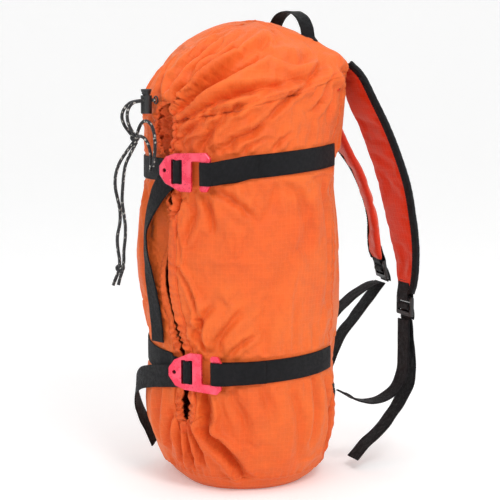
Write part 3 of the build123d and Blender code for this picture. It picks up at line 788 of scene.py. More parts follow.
def sleeve(name, points, sides, corner_of, finish, closed=False):
    """A tube from rings of points, one after the other. corner_of(ring, place) gives a corner's map."""
    rings = len(points) // sides
    faces, corner_map = [], []
    for i in range(rings if closed else rings - 1):
        j = (i + 1) % rings
        for k in range(sides):
            n = (k + 1) % sides
            faces.append([i * sides + k, i * sides + n, j * sides + n, j * sides + k])
            corner_map += [corner_of(i, k), corner_of(i, k + 1), corner_of(i + 1, k + 1), corner_of(i + 1, k)]
    if not closed:
        for ring, order in ((0, range(sides - 1, -1, -1)), (rings - 1, range(sides))):
            faces.append([ring * sides + k for k in order])
            corner_map += [corner_of(ring, k) for k in order]
    return mesh_object(name, points, faces, finish, corner_map)


print("mesh helpers ready")

# %% Weave the bag's mesh
front_gap = np.linalg.norm(grid[:, 0] - grid[:, -1], axis=1)
front_open = front_gap > 0.0004
number_of = np.arange(row_count * COLUMNS).reshape(row_count, COLUMNS)
number_of[~front_open, -1] = number_of[~front_open, 0]
flat_points = grid.reshape(-1, 3)
crown = len(flat_points)
flat_points = np.concatenate([flat_points, [[0, DOME_BACK, DOME_LEVEL + DOME_RADIUS], [0, 0, 0]]])
faces = []
for i in range(row_count - 1):
    for j in range(COLUMNS - 1):
        faces.append([int(number_of[a, b]) for a, b in ((i, j), (i, j + 1), (i + 1, j + 1), (i + 1, j))])
for j in range(COLUMNS - 1):
    faces.append([int(number_of[-1, j]), int(number_of[-1, j + 1]), crown])
    faces.append([int(number_of[0, j + 1]), int(number_of[0, j]), crown + 1])
bag = mesh_object("bag_cloth", flat_points, faces, bag_cloth)
held = np.maximum(hold, 0)
held[:base_seam_row] = 1
held[:, :2] = np.maximum(held[:, :2], 0.9)
held[:, -2:] = np.maximum(held[:, -2:], 0.9)
held[top_seam_row] = np.maximum(held[top_seam_row], 0.5)
hollow = 0.9 * hump((theta_grid + 110) % 360 - 110, -78, 11) * hump(height_grid, 0.277, 0.05)
held = np.maximum(held, np.maximum(hollow, 0.5 * smooth(-push, 0.0045, 0.009)))
group = bag.vertex_groups.new(name="held")
for index, weight in enumerate(held.reshape(-1)):
    if weight > 0.02:
        group.add([index], float(weight), "REPLACE")
print("bag cloth has", len(bag.data.vertices), "points")


# %% [markdown]
# Stuffing the cloth: pressure from inside, no gravity, and cloth cut a few percent larger than the form it
# fills. Where it is held it can't move; between, the spare cloth buckles. The move is capped so that the
# bag keeps its size.

# %% Stuff the bag
def simulate(piece, frames, group_name, spare, pressure, cap, bending=0.6, stiffness=18):
    """Runs a cloth simulation on a piece and keeps its last shape, moved no further than cap metres."""
    before = np.zeros(len(piece.data.vertices) * 3)
    piece.data.vertices.foreach_get("co", before)
    cloth = piece.modifiers.new("stuffing", "CLOTH")
    settings = cloth.settings
    settings.quality = 6
    settings.mass = 0.25
    settings.tension_stiffness = stiffness
    settings.compression_stiffness = stiffness
    settings.shear_stiffness = stiffness * 0.4
    settings.bending_stiffness = bending
    settings.tension_damping = 8
    settings.compression_damping = 8
    settings.air_damping = 3
    settings.shrink_min = -spare
    settings.use_pressure = True
    settings.uniform_pressure_force = pressure
    settings.effector_weights.gravity = 0
    if group_name:
        settings.vertex_group_mass = group_name
        settings.pin_stiffness = 5
    cloth.collision_settings.use_collision = False
    cloth.collision_settings.use_self_collision = False
    cloth.point_cache.frame_end = frames
    for number in range(1, frames + 1):
        bpy.context.scene.frame_set(number)
    evaluated = piece.evaluated_get(bpy.context.evaluated_depsgraph_get())
    after = np.zeros_like(before)
    evaluated.data.vertices.foreach_get("co", after)
    move = (after - before).reshape(-1, 3)
    length = np.linalg.norm(move, axis=1, keepdims=True)
    move *= np.minimum(1, cap / np.maximum(length, 1e-9))
    piece.modifiers.remove(cloth)
    piece.data.vertices.foreach_set("co", (before + move.reshape(-1)))
    piece.data.update()
    bpy.context.scene.frame_set(1)
    return float(np.median(length)), float(length.max())


middle, most = simulate(bag, 22, "held", 0.03, 1.4, 0.0045)
print("the stuffing moved the cloth", round(middle * 1000, 1), "mm, at most", round(most * 1000, 1), "mm")
stuffed = np.zeros(len(bag.data.vertices) * 3)
bag.data.vertices.foreach_get("co", stuffed)
stuffed = stuffed.reshape(-1, 3)
grid = stuffed[number_of.reshape(-1)].reshape(row_count, COLUMNS, 3)
crown_point, base_point = stuffed[crown], stuffed[crown + 1]
base_point[2] = max(base_point[2], 0.0002)
bpy.data.objects.remove(bag)


# %% [markdown]
# The stuffed grid is woven twice as fine, by splines along its rows and columns. Only then come the small
# things a simulation at this size can't hold: the elastic's tight ruffles along both lips of the slit, the
# puckers round the mouth and along every seam, and the fine wrinkles of crisp nylon.

# %% Refine and gather
def refine(values, axis):
    """Puts a smooth spline's midpoint between neighbours along an axis."""
    values = np.moveaxis(values, axis, 0)
    before = np.concatenate([values[:1], values[:-2]])
    after = np.concatenate([values[2:], values[-1:]])
    middle = (-before + 9 * values[:-1] + 9 * values[1:] - after) / 16
    fine = np.empty((2 * len(values) - 1,) + values.shape[1:])
    fine[0::2] = values
    fine[1::2] = middle
    return np.moveaxis(fine, 0, axis)


fine_grid = refine(refine(grid, 0), 1)
fine_theta = refine(refine(theta_grid[:, :, None], 0), 1)[:, :, 0]
fine_rows, fine_columns = fine_theta.shape
print("fine grid", fine_rows, "by", fine_columns)

# %% Ruffles along the slit
fine_z = fine_grid[:, :, 2]
reach_round = np.radians(fine_theta) * MAP_RADIUS
from_right_lip = reach_round - reach_round[:, :1]
from_left_lip = reach_round[:, -1:] - reach_round
to_lip = np.minimum(from_right_lip, from_left_lip)
slit_zone = smooth(fine_z, 0.066, 0.080) * (1 - smooth(fine_z, 0.352, 0.368))
ruffle_strength = 0.0003 + 0.0022 * hump(fine_z, 0.092, 0.024) + 0.0019 * hump(fine_z, 0.162, 0.022)
ruffle_strength = ruffle_strength + 0.0016 * hump(fine_z, 0.312, 0.02)
ruffle_phase = 2 * np.pi * fine_z / 0.0088 + 2.6 * np.sin(fine_z * 150) + 1.9 * np.sin(fine_z * 61 + 1)
ruffle_phase = ruffle_phase + np.where(from_right_lip < from_left_lip, 0.0, 2.3) + to_lip * 260
ruffles = ruffle_strength * np.sin(ruffle_phase) * np.exp(-(to_lip / 0.0095) ** 2) * slit_zone
hem_line = -0.0009 * hump(to_lip, 0.0115, 0.0011) * slit_zone
hem_roll = 0.0011 * hump(to_lip, 0.0055, 0.0040) * slit_zone
print("ruffles up to", round(float(ruffles.max()) * 1000, 1), "mm high")

# %% Puckers round the mouth
mouth_x = (np.radians(fine_theta - MOUTH_ANGLE) + np.pi) % (2 * np.pi) - np.pi
mouth_x = mouth_x * MAP_RADIUS
mouth_y = fine_z - MOUTH_LEVEL
ring = np.sqrt((mouth_x / MOUTH_HALF[0]) ** 2 + (mouth_y / MOUTH_HALF[1]) ** 2)
round_mouth = np.arctan2(mouth_y / MOUTH_HALF[1], mouth_x / MOUTH_HALF[0])
beyond = np.maximum(ring - 1, 0)
pucker_wave = np.sin(19 * round_mouth + 1.5 * np.sin(4 * round_mouth))
puckers = 0.0019 * pucker_wave * np.exp(-(beyond / 0.75) ** 2) * (fine_z > 0.34)
mouth_lip = 0.0022 * hump(ring, 1.15, 0.28) * (fine_z > 0.34)
# the cord's channel goes on up from the mouth as a gathered line
gather_x, gather_y = math.radians(-66) * MAP_RADIUS, 0.414
gather_dx, gather_dy = math.radians(30) * MAP_RADIUS, 0.044
gather_length = math.hypot(gather_dx, gather_dy)
wrapped = np.radians((fine_theta + 110) % 360 - 110) * MAP_RADIUS
gather_s = ((wrapped - gather_x) * gather_dx + (fine_z - gather_y) * gather_dy) / gather_length
gather_t = ((wrapped - gather_x) * gather_dy - (fine_z - gather_y) * gather_dx) / gather_length
on_gather = smooth(gather_s, -0.004, 0.004) * (1 - smooth(gather_s, gather_length - 0.006, gather_length))
gathers = on_gather * (0.0018 * np.sin(2 * np.pi * gather_s / 0.0052 + 1.1 * np.sin(gather_s * 300))
                       * hump(gather_t, 0, 0.0042) - 0.0020 * hump(gather_t, 0.0, 0.0014))
print("puckers up to", round(float(puckers.max()) * 1000, 1), "mm high")

# %% Seams and fine wrinkles
seam_push = np.zeros_like(fine_z)
along_seam = fine_z / 0.011 * 2 * np.pi
for column in (right_seam_column, left_seam_column):
    away = np.abs(reach_round - reach_round[:, 2 * column:2 * column + 1])
    seam_push -= 0.0010 * hump(away, 0, 0.0016)
    seam_push += 0.0006 * np.sin(along_seam + 1.3 * np.sin(fine_z * 61)) * np.exp(-(away / 0.010) ** 2)
rows_up = run_along(fine_grid[:, fine_columns // 3])
for row in (base_seam_row, top_seam_row):
    away = np.abs(rows_up - rows_up[2 * row])[:, None]
    seam_push -= 0.0006 * hump(away, 0, 0.0018)
    seam_push += 0.0007 * np.sin(reach_round / 0.012 * 2 * np.pi + 1.5 * np.sin(reach_round * 70)) * np.exp(
        -(away / 0.011) ** 2)

wrinkle = np.zeros_like(fine_z)
for i in range(fine_rows):
    for j in range(fine_columns):
        x, y, z = fine_grid[i, j]
        turned = (x * 1.0 + y * 0.4, y - x * 0.3, z * 0.75)
        first = noise(Vector((turned[0] * 42, turned[1] * 42, turned[2] * 42)))
        second = noise(Vector((x * 105 + 4, y * 105, z * 105 + first)))
        wrinkle[i, j] = 0.0006 * (0.5 - abs(first)) + 0.00030 * (0.4 - abs(second))
shut = smooth(np.arange(fine_rows), 2 * base_seam_row - 8, 2 * base_seam_row + 6)[:, None]
near_pole = smooth(fine_rows - np.arange(fine_rows), 0, 20)[:, None]
fine_hold = strap_hold(fine_theta, fine_z)
small = ruffles + hem_line + hem_roll + puckers + mouth_lip + gathers + seam_push + wrinkle
small = small * shut * near_pole * (1 - 0.9 * fine_hold)
fine_grid = fine_grid + grid_normals(fine_grid) * small[:, :, None]
fine_grid = strap_clearance(fine_grid, fine_theta)
fine_grid[:, :, 2] = np.maximum(fine_grid[:, :, 2], 0.0002)
shut_rows = np.linalg.norm(fine_grid[:, 0] - fine_grid[:, -1], axis=1) < 0.0022
shut_rows[:2 * int(np.argmax(front_open)) - 1] = True
fine_grid[shut_rows, -1] = fine_grid[shut_rows, 0]
print("small folds reach", round(float(small.max()) * 1000, 1), "mm out")


# %% [markdown]
# The panels are cut along the seams: base, right side, back, left side and top, with the two lips of the slit
# as folded hems and a patch at the slit's foot. Each gets the cloth's thickness inwards. The map is metres of
# cloth, measured from the front seam, so the ripstop runs straight up every panel.

# %% Cut the panels
side_run = run_along(fine_grid[:, fine_columns // 2])
map_u = reach_round
map_v = np.repeat(side_run[:, None], fine_columns, 1)


def cut_panel(name, row_from, row_to, column_from, column_to, thickness, finish, leave_out=None, poles=""):
    """One sewn panel: the quads between two rows and two columns, given the cloth's thickness inwards."""
    wanted = []
    for i in range(row_from, row_to):
        for j in range(column_from, column_to):
            if leave_out is None or not leave_out(i, j):
                wanted.append((i, j))
    number, points, faces, corner_map = {}, [], [], []

    def point_number(i, j):
        if j == fine_columns - 1 and shut_rows[i]:
            j = 0
        if (i, j) not in number:
            number[(i, j)] = len(points)
            points.append(fine_grid[i, j])
        return number[(i, j)]

    for i, j in wanted:
        corners = ((i, j), (i, j + 1), (i + 1, j + 1), (i + 1, j))
        faces.append([point_number(a, b) for a, b in corners])
        corner_map += [(map_u[a, b], map_v[a, b]) for a, b in corners]
    for pole, row, centre in (("base", 0, base_point), ("crown", fine_rows - 1, crown_point)):
        if pole in poles:
            points.append(centre)
            middle = len(points) - 1
            for j in range(column_from, column_to):
                ends = (point_number(row, j), point_number(row, j + 1))
                faces.append([*(ends if pole == "crown" else ends[::-1]), middle])
                corner_map += [(map_u[row, j], map_v[row, j]), (map_u[row, j + 1], map_v[row, j]),
                               (map_u[row, j], map_v[row, j] + 0.003)]
    faces = [face for face in faces if len(set(face)) == len(face)]
    whole_map = len(corner_map) == sum(map(len, faces))
    panel = mesh_object(name, points, faces, finish, corner_map if whole_map else None)
    thick = panel.modifiers.new("cloth", "SOLIDIFY")
    thick.thickness = thickness
    thick.offset = -1
    apply_all(panel)
    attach(panel, "bag")
    print(name, len(panel.data.polygons), "faces")
    return panel


HEM_WIDTH = 0.0112
middle_row = 2 * first_wall + 120
HEM_COLUMNS = int(np.argmax(from_right_lip[middle_row] > HEM_WIDTH))
LEFT_HEM = fine_columns - 1 - int(np.argmax(from_left_lip[middle_row][::-1] > HEM_WIDTH))
hem_low = int(np.argmax(fine_z[:, 0] > 0.0755))
hem_high = int(np.argmax(fine_z[:, 0] > 0.3600))
patch_low = int(np.argmax(fine_z[:, 0] > 0.0630))
base_row, top_row = 2 * base_seam_row, 2 * top_seam_row
right_column, left_column = 2 * right_seam_column, 2 * left_seam_column


def in_hem(i, j):
    """True for the quads that belong to a folded hem or the patch at the slit's foot."""
    return patch_low <= i < hem_high and (j < HEM_COLUMNS or j >= LEFT_HEM)


print("the hems are", HEM_COLUMNS, "columns wide on the right")

# %% Sew the panels and hems
CLOTH = 0.0007
HEM = 0.0018
FOOT = 0.0016
last = fine_columns - 1
top_end = fine_rows - 1
base = cut_panel("sewn_base", 0, base_row, 0, last, CLOTH, bag_cloth, poles="base")
right_side = cut_panel("sewn_right_side", base_row, top_row, 0, right_column, CLOTH, bag_cloth, in_hem)
back = cut_panel("sewn_back", base_row, top_row, right_column, left_column, CLOTH, bag_cloth)
left_side = cut_panel("sewn_left_side", base_row, top_row, left_column, last, CLOTH, bag_cloth, in_hem)
top = cut_panel("sewn_top", top_row, top_end, 0, last, CLOTH, bag_cloth, poles="crown")
right_hem = cut_panel("folded_right_hem", hem_low, hem_high, 0, HEM_COLUMNS, HEM, hem_cloth)
left_hem = cut_panel("folded_left_hem", hem_low, hem_high, LEFT_HEM, last, HEM, hem_cloth)
foot = cut_panel("slit_foot_right", patch_low, hem_low, 0, HEM_COLUMNS, FOOT, hem_cloth)
cut_panel("slit_foot_left", patch_low, hem_low, LEFT_HEM, last, FOOT, hem_cloth)
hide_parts("base_panel")
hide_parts("right_side_panel")
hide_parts("back_panel")
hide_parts("left_side_panel")
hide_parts("top_panel")
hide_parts("right_slit_hem", "right_hem_elastic")
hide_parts("left_slit_hem", "left_hem_elastic")
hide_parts("slit_foot_patch")


# %% [markdown]
# ## Mouth and stitching
# The cord's channel is a soft roll round the mouth, pinched every few millimetres where the cord gathers it.
# Behind its left half the inner cloth is scrunched up; on the right the mouth stays open and dark. The
# stitching is real thread: hundreds of small tubes that follow the cloth, each with a few dozen faces.

# %% Mouth channel
ROLL_STEP = 0.0008
fine_normals = grid_normals(fine_grid)


def rim_line():
    """The mouth's edge: up its right lip and back down its left one."""
    low = int(np.argmax(fine_z[:, 0] > MOUTH_LEVEL - MOUTH_HALF[1] + 0.002))
    high = int(np.argmax(fine_z[:, 0] > MOUTH_LEVEL + MOUTH_HALF[1] - 0.0008))
    right = [fine_grid[i, 0] + fine_normals[i, 2] * 0.0004 for i in range(low, high)]
    left = [fine_grid[i, -1] + fine_normals[i, -3] * 0.0004 for i in range(high - 1, low - 1, -1)]
    return np.array(right + left)


def even_line(line, step):
    """A line resampled at even steps."""
    run = run_along(line)
    at = np.linspace(0, run[-1], int(run[-1] / step) + 1)
    return np.stack([np.interp(at, run, line[:, k]) for k in range(3)], -1)


def channel_roll(name, line, radius, pinch, pitch):
    """A gathered roll of cloth along a line, pinched at a pitch."""
    line = even_line(line, ROLL_STEP)
    smoothed = line.copy()
    for _ in range(6):
        smoothed[1:-1] = (smoothed[:-2] + 2 * smoothed[1:-1] + smoothed[2:]) / 4
    ahead = unit(np.gradient(smoothed, axis=0))
    sides = 14
    points = []
    for i, place in enumerate(smoothed):
        out = unit(np.array([place[0], place[1], 0]))
        out = unit(out - ahead[i] * np.dot(out, ahead[i]))
        other = np.cross(ahead[i], out)
        run = i * ROLL_STEP
        gather = math.sin(2 * math.pi * run / pitch + 1.4 * math.sin(run * 260))
        for k in range(sides):
            turn = 2 * math.pi * k / sides
            size = radius * (1 + pinch * gather + 0.14 * math.sin(3 * turn + run * 700))
            points.append(place * 0.3 + smoothed[i] * 0.7 + out * math.sin(turn) * size
                          + other * math.cos(turn) * size * 1.15)
    roll = sleeve(name, points, sides, lambda ring, place: (place * 0.0013, ring * ROLL_STEP), hem_cloth)
    turn_outward(roll)
    return roll


mouth_roll = channel_roll("gathered_mouth_channel", rim_line(), 0.0019, 0.18, 0.0058)
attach(mouth_roll, "bag")
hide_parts("mouth_channel")
print("mouth channel has", len(mouth_roll.data.polygons), "faces")

# %% Scrunched inner cloth
points, faces, corner_map = [], [], []
ACROSS = 40
UPWARD = 64
for j in range(UPWARD + 1):
    v = 2 * j / UPWARD - 1
    for i in range(ACROSS + 1):
        u = i / ACROSS
        width = 0.0210 * math.sqrt(max(1 - (v * 0.93) ** 2, 0))
        across = -width + u * width * 1.30
        level = MOUTH_LEVEL + v * 0.029
        sink = 0.0030 + 0.0180 * u ** 1.8
        swirl = noise(Vector((u * 3.2, v * 2.4, 5.0)))
        fold = 0.0026 * math.sin(9 * v + 7 * u + 5 * swirl) + 0.0018 * math.sin(19 * v - 9 * u + 6 * swirl)
        fold += 0.0007 * math.sin(41 * v + 21 * u)
        angle = MOUTH_ANGLE + math.degrees(across / MAP_RADIUS)
        radius = 0.1055 - sink + fold * (1 - abs(v) ** 4)
        points.append(polar(angle, radius, level))
for j in range(UPWARD):
    for i in range(ACROSS):
        a = j * (ACROSS + 1) + i
        faces.append([a, a + 1, a + ACROSS + 2, a + ACROSS + 1])
        corner_map += [(0.0006 * (k % (ACROSS + 1)), 0.0008 * (k // (ACROSS + 1))) for k in faces[-1]]
inner_cloth = mesh_object("scrunched_inner_cloth", points, faces, hem_cloth, corner_map)
thick = inner_cloth.modifiers.new("cloth", "SOLIDIFY")
thick.thickness = 0.0006
apply_all(inner_cloth)
turn_outward(inner_cloth)
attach(inner_cloth, "bag")
print("inner cloth has", len(inner_cloth.data.polygons), "faces")


# %% Stitch helpers
THREAD_SIDES = 5


def tacks(name, places, finish, radius=0.00042):
    """Stitches: each is a short round thread from one place to another, lifted at its middle."""
    points, faces = [], []
    for start, end, lift in places:
        start, end, lift = np.array(start), np.array(end), np.array(lift)
        side = unit(np.cross(unit(end - start), lift))
        up = unit(lift)
        base = len(points)
        for share, rise, size in ((0, -0.4, 0.8), (0.5, 0.55, 1.0), (1, -0.4, 0.8)):
            middle = start + (end - start) * share + up * radius * rise
            for k in range(THREAD_SIDES):
                turn = 2 * math.pi * k / THREAD_SIDES
                points.append(middle + (side * math.cos(turn) + up * math.sin(turn)) * radius * size)
        for ring_index in range(2):
            for k in range(THREAD_SIDES):
                n = (k + 1) % THREAD_SIDES
                a = base + ring_index * THREAD_SIDES
                faces.append([a + k, a + n, a + THREAD_SIDES + n, a + THREAD_SIDES + k])
        faces.append([base + k for k in range(THREAD_SIDES - 1, -1, -1)])
        faces.append([base + 2 * THREAD_SIDES + k for k in range(THREAD_SIDES)])
    piece = mesh_object(name, points, faces, finish)
    turn_outward(piece)
    return piece


def stitch_row(name, line, normals, finish, pitch=0.0032, radius=0.00028):
    """A row of lock stitches along a line on the cloth."""
    run = run_along(line)
    places = []
    for start in np.arange(0.001, run[-1] - pitch, pitch):
        lift = np.array([np.interp(start, run, normals[:, k]) for k in range(3)])
        first, second = [np.array([np.interp(at, run, line[:, k]) for k in range(3)]) + lift * 0.0001
                         for at in (start, start + 0.7 * pitch)]
        places.append((first, second, lift))
    row = tacks(name, places, finish, radius)
    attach(row, "bag")
    return row


print("stitch helpers ready")

# %% Stitches of the bag
hem_rows = slice(hem_low, hem_high)
wall_rows = slice(base_row, top_row)
inner_columns = slice(3, -3)
for name, place in (
    ("right_hem_stitches", (hem_rows, HEM_COLUMNS - 2)), ("left_hem_stitches", (hem_rows, LEFT_HEM + 2)),
    ("right_side_stitches", (wall_rows, right_column + 1)),
    ("left_side_stitches", (wall_rows, left_column - 1)),
    ("top_seam_stitches", (top_row + 3, inner_columns)),
    ("base_seam_stitches", (base_row + 2, inner_columns)),
):
    stitches = stitch_row(name, fine_grid[place], fine_normals[place], thread_finish)
    print(name, len(stitches.data.polygons), "faces")


# %% [markdown]
# ## Webbing
# Every strap is one length of 25 mm webbing with a slightly crowned face and soft edges. A ribbon is woven
# from stations: a centre and a width direction each. Between stations the path is a smooth spline, and the
# map runs along it in metres, so the ribs keep their pitch round every bend. A little noise keeps the edges
# from being perfectly straight.

# %% Ribbon helpers
UPRIGHT = np.array([0, 0, 1.0])


def resample(stations, step):
    """A smooth spline through rows of numbers, at even steps along its first three columns."""
    stations = np.asarray(stations, float)
    padded = np.vstack([2 * stations[0] - stations[1], stations, 2 * stations[-1] - stations[-2]])
    fine = []
    for i in range(1, len(padded) - 2):
        p0, p1, p2, p3 = padded[i - 1:i + 3]
        t = np.linspace(0, 1, 24, endpoint=False)[:, None]
        fine.append(0.5 * (2 * p1 + (p2 - p0) * t + (2 * p0 - 5 * p1 + 4 * p2 - p3) * t ** 2
                           + (3 * p1 - p0 - 3 * p2 + p3) * t ** 3))
    fine = np.vstack(fine + [padded[-2:-1]])
    run = run_along(fine[:, :3])
    count = max(int(run[-1] / step), 2)
    at = np.linspace(0, run[-1], count + 1)
    return np.stack([np.interp(at, run, fine[:, k]) for k in range(fine.shape[1])], -1), at


RIBBON_PROFILE = [(-1.0, 0.25), (-0.975, 0.72), (-0.9, 1.0), (-0.6, 0.96), (-0.2, 1.0), (0.2, 1.0),
                  (0.6, 0.96), (0.9, 1.0), (0.975, 0.72), (1.0, 0.25)]


def ribbon(name, stations, width, finish, thickness=0.0017, step=0.0022, wander=0.00022):
    """Webbing through stations, each a centre and a width direction. Its map is in metres."""
    woven, run = resample([np.concatenate(station) for station in stations], step)
    centre = woven[:, :3]
    ahead = unit(np.gradient(centre, axis=0))
    across = square_to(woven[:, 3:6], ahead)
    face = np.cross(ahead, across)
    points = []
    ring = RIBBON_PROFILE + [(x, -h) for x, h in reversed(RIBBON_PROFILE)]
    sides = len(ring)
    for i, place in enumerate(centre):
        sway = noise(Vector((run[i] * 45, 3.1, len(name)))) * wander
        for x, h in ring:
            ripple = noise(Vector((run[i] * 60 + x * 3, 7.7, len(name)))) * wander * 1.3
            points.append(place + across[i] * (x * width / 2 + sway) + face[i] * (h * thickness / 2 + ripple))

    def corner_of(row, place):
        return (ring[place % sides][0] + 1) * width / 2, run[row]

    piece = sleeve(name, points, sides, corner_of, finish)
    if np.dot(np.cross(across[0], face[0]), ahead[0]) < 0:
        turn_outward(piece)
    return piece


HOOKS = {"upper": (-56, 0.344, 0.1096), "lower": (-51, 0.132, 0.1066)}
STRAP_LEVELS = {
    "upper": (0.1044, (0.3486, 0.0089, 65), (0.342, 0.003, -30)),
    "lower": (0.1014, (0.1334, 0.004, 75), (0.138, 0.009, 190)),
}
DROP = {"upper": -0.0015, "lower": 0.0015}


def level_at(level, angle):
    """A strap's height where it crosses an angle."""
    return level[0] + level[1] * math.cos(math.radians(angle - level[2]))


def hook_point(which, x, y, z):
    """A point given in a hook's own plane, in metres."""
    angle, height, stand = HOOKS[which]
    radial = polar(angle, 1, 0)
    tangent = polar(angle + 90, 1, 0)
    return polar(angle, stand, height) + tangent * x + radial * z + np.array([0, 0, y])


def band_station(radius, level, angle, lift=0.0):
    """A station of webbing lying on the bag."""
    rise = level[1] * -math.sin(math.radians(angle - level[2])) / radius
    width = UPRIGHT - polar(angle + 90, 1, 0) * rise
    return polar(angle, radius + 0.0008 + lift, level_at(level, angle)), width


def tail_station(angle, radius, height, lean, twist):
    """A station of a free tail: its width leans from upright and twists away from the cloth."""
    twist, lean = math.radians(twist), math.radians(lean)
    level = polar(angle + 90, 1, 0) * math.cos(twist) + polar(angle, 1, 0) * math.sin(twist)
    return polar(angle, radius, height), level * math.sin(lean) + UPRIGHT * math.cos(lean)


# %% [markdown]
# The right half of each strap is sewn into the side seam, runs round the bag, doubles back round the hook's
# bar and is stitched down on itself. The left half is sewn into the other seam and runs to the hook, where
# it turns round the sliding bar; its free end is the tail.

# %% Compression straps
UPPER_TAIL = [
    (-67.5, 0.1084, 0.337, -10, 0), (-74, 0.1082, 0.328, -34, 0), (-80.5, 0.1088, 0.314, -58, 4),
    (-85.5, 0.1110, 0.297, -78, 11), (-88, 0.1134, 0.279, -88, 18), (-88.5, 0.1134, 0.258, -90, 16),
    (-87, 0.112, 0.236, -90, 8), (-85, 0.1098, 0.212, -90, 2), (-83, 0.1072, 0.186, -90, 0),
    (-82, 0.1054, 0.158, -90, 0),
]
LOWER_TAIL = [
    (-64, 0.1050, 0.126, 0, 0), (-78, 0.1052, 0.122, -4, 0), (-92, 0.107, 0.117, -12, 0),
    (-103, 0.111, 0.111, -24, 0), (-112, 0.115, 0.102, -42, 0), (-119, 0.1175, 0.089, -60, 0),
    (-124, 0.1175, 0.073, -74, 0), (-128, 0.114, 0.056, -80, 0), (-131, 0.108, 0.040, -82, 0),
    (-133, 0.1025, 0.025, -84, 0),
]
# places in a hook's plane: along it, out of it, and the share of the slope up to the band's height
ROUND_THE_BAR = [
    (0.0510, -0.0166, 0.6), (0.0440, -0.0122, 0.4), (0.0370, -0.0068, 0.2), (0.0312, -0.0030, 0),
    (0.0255, -0.0020, 0), (0.0208, -0.0014, 0), (0.0192, 0.0018, 0), (0.0208, 0.0052, 0),
    (0.0255, 0.0058, 0), (0.0310, 0.0048, 0), (0.0370, 0.0002, 0.2), (0.0440, -0.0082, 0.5),
    (0.0515, -0.0146, 0.8),
]
ROUND_THE_SLIDER = [
    (-0.0290, -0.0035, 0.7), (-0.0200, -0.0022, 0.3), (-0.0146, -0.0012, 0), (-0.0134, 0.0012, 0),
    (-0.0128, 0.0036, 0), (-0.0112, 0.0048, 0), (-0.0074, 0.0048, 0), (-0.0058, 0.0036, 0),
    (-0.0052, 0.0012, 0), (-0.0060, -0.0024, 0), (-0.0105, -0.0042, 0),
]
BAND_WIDTH = 0.0242
TAIL_WIDTH = 0.0245
strap_pieces = {}
for which in ("upper", "lower"):
    radius, right_level, left_level = STRAP_LEVELS[which]
    hook_angle, hook_height, stand = HOOKS[which]
    stations = [band_station(radius, right_level, a) for a in (46.5, 40, 30, 18, 6, -6, -14, -20)]
    drop = DROP[which]
    band_height = level_at(right_level, hook_angle + 27) - hook_height
    for x, z, share in ROUND_THE_BAR:
        height = drop * (1 - share) + band_height * share
        stations.append((hook_point(which, x, height, z), UPRIGHT))
    stations += [band_station(radius, right_level, a, 0.0019) for a in (hook_angle + 35, hook_angle + 41)]
    piece = ribbon(f"{which}_strap_with_loop", stations, BAND_WIDTH, black_webbing)
    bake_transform(piece)
    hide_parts(f"{which}_loop_strap", f"{which}_loop")
    strap_pieces[f"{which}_loop"] = piece

    tail = UPPER_TAIL if which == "upper" else LOWER_TAIL
    left_angles = (134, 145, 160, 180, 200, 220, 240, 260, 275, 288)
    stations = [band_station(radius, left_level, a) for a in left_angles if a <= 360 + hook_angle - 18]
    slot_level = math.copysign(0.0005, drop)
    start_height = level_at(left_level, hook_angle - 18) - hook_height
    for x, z, share in ROUND_THE_SLIDER:
        height = slot_level * (1 - share) + start_height * share
        stations.append((hook_point(which, x, height, z), UPRIGHT))
    piece = ribbon(f"{which}_adjusting_webbing", stations, BAND_WIDTH, black_webbing, step=0.0016)
    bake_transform(piece)
    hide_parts(f"{which}_adjusting_strap", f"{which}_bar_turn")
    strap_pieces[f"{which}_adjusting"] = piece

    stations = [tail_station(*row) for row in tail]
    piece = ribbon(f"{which}_strap_tail", stations, TAIL_WIDTH, black_webbing, wander=0.0005)
    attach(piece, "bag")
    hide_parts(f"{which}_tail_webbing")
    strap_pieces[f"{which}_tail"] = piece
print("straps:", ", ".join(strap_pieces))


# %% [markdown]
# ## Shoulder straps
# Each strap is a soft pad between two faces of cloth, narrower towards its adjuster. It starts as a smooth
# pillow through the strap's stations. A short pressure simulation rounds it and lets the cloth pucker along
# its edges; the black binding and its stitches are sewn on afterwards so that they stay sharp.

# %% Padded shoulder straps
RIGHT_STRAP = [
    (0.114, 0.437, 0), (0.1245, 0.411, 2), (0.139, 0.384, 3), (0.153, 0.352, 4), (0.165, 0.319, 4),
    (0.173, 0.286, 3), (0.179, 0.258, 2), (0.183, 0.232, 0), (0.184, 0.208, 0), (0.183, 0.196, 0),
]
LEFT_STRAP = [
    (0.114, 0.437, 0), (0.123, 0.409, -4), (0.135, 0.380, -10), (0.152, 0.351, -16), (0.169, 0.325, -20),
    (0.182, 0.296, -22), (0.190, 0.268, -22), (0.192, 0.247, -18), (0.194, 0.232, -12), (0.197, 0.222, -8),
]
STRAP_WIDTHS = [0.78, 1, 1, 1, 1, 0.97, 0.9, 0.78, 0.6, 0.45]
HALF_STRAP = 0.030
STRAP_APART = 0.045


def strap_frames(side, route, step):
    """Centres, width directions, face directions and widths, finely spaced down one shoulder strap."""
    rows = [(side * 0.042, 0.1045, 0.4515, 1, 0, 0, 0.5)]
    for (y, z, turn), size in zip(route, STRAP_WIDTHS):
        turn = math.radians(turn)
        rows.append((side * STRAP_APART, y, z, math.cos(turn), math.sin(turn), 0, size))
    fine, run = resample(rows, step)
    centre = fine[:, :3]
    ahead = unit(np.gradient(centre, axis=0))
    across = square_to(fine[:, 3:6], ahead)
    return centre, across, np.cross(ahead, across), fine[:, 6], run


print("shoulder straps follow", len(RIGHT_STRAP), "stations each")

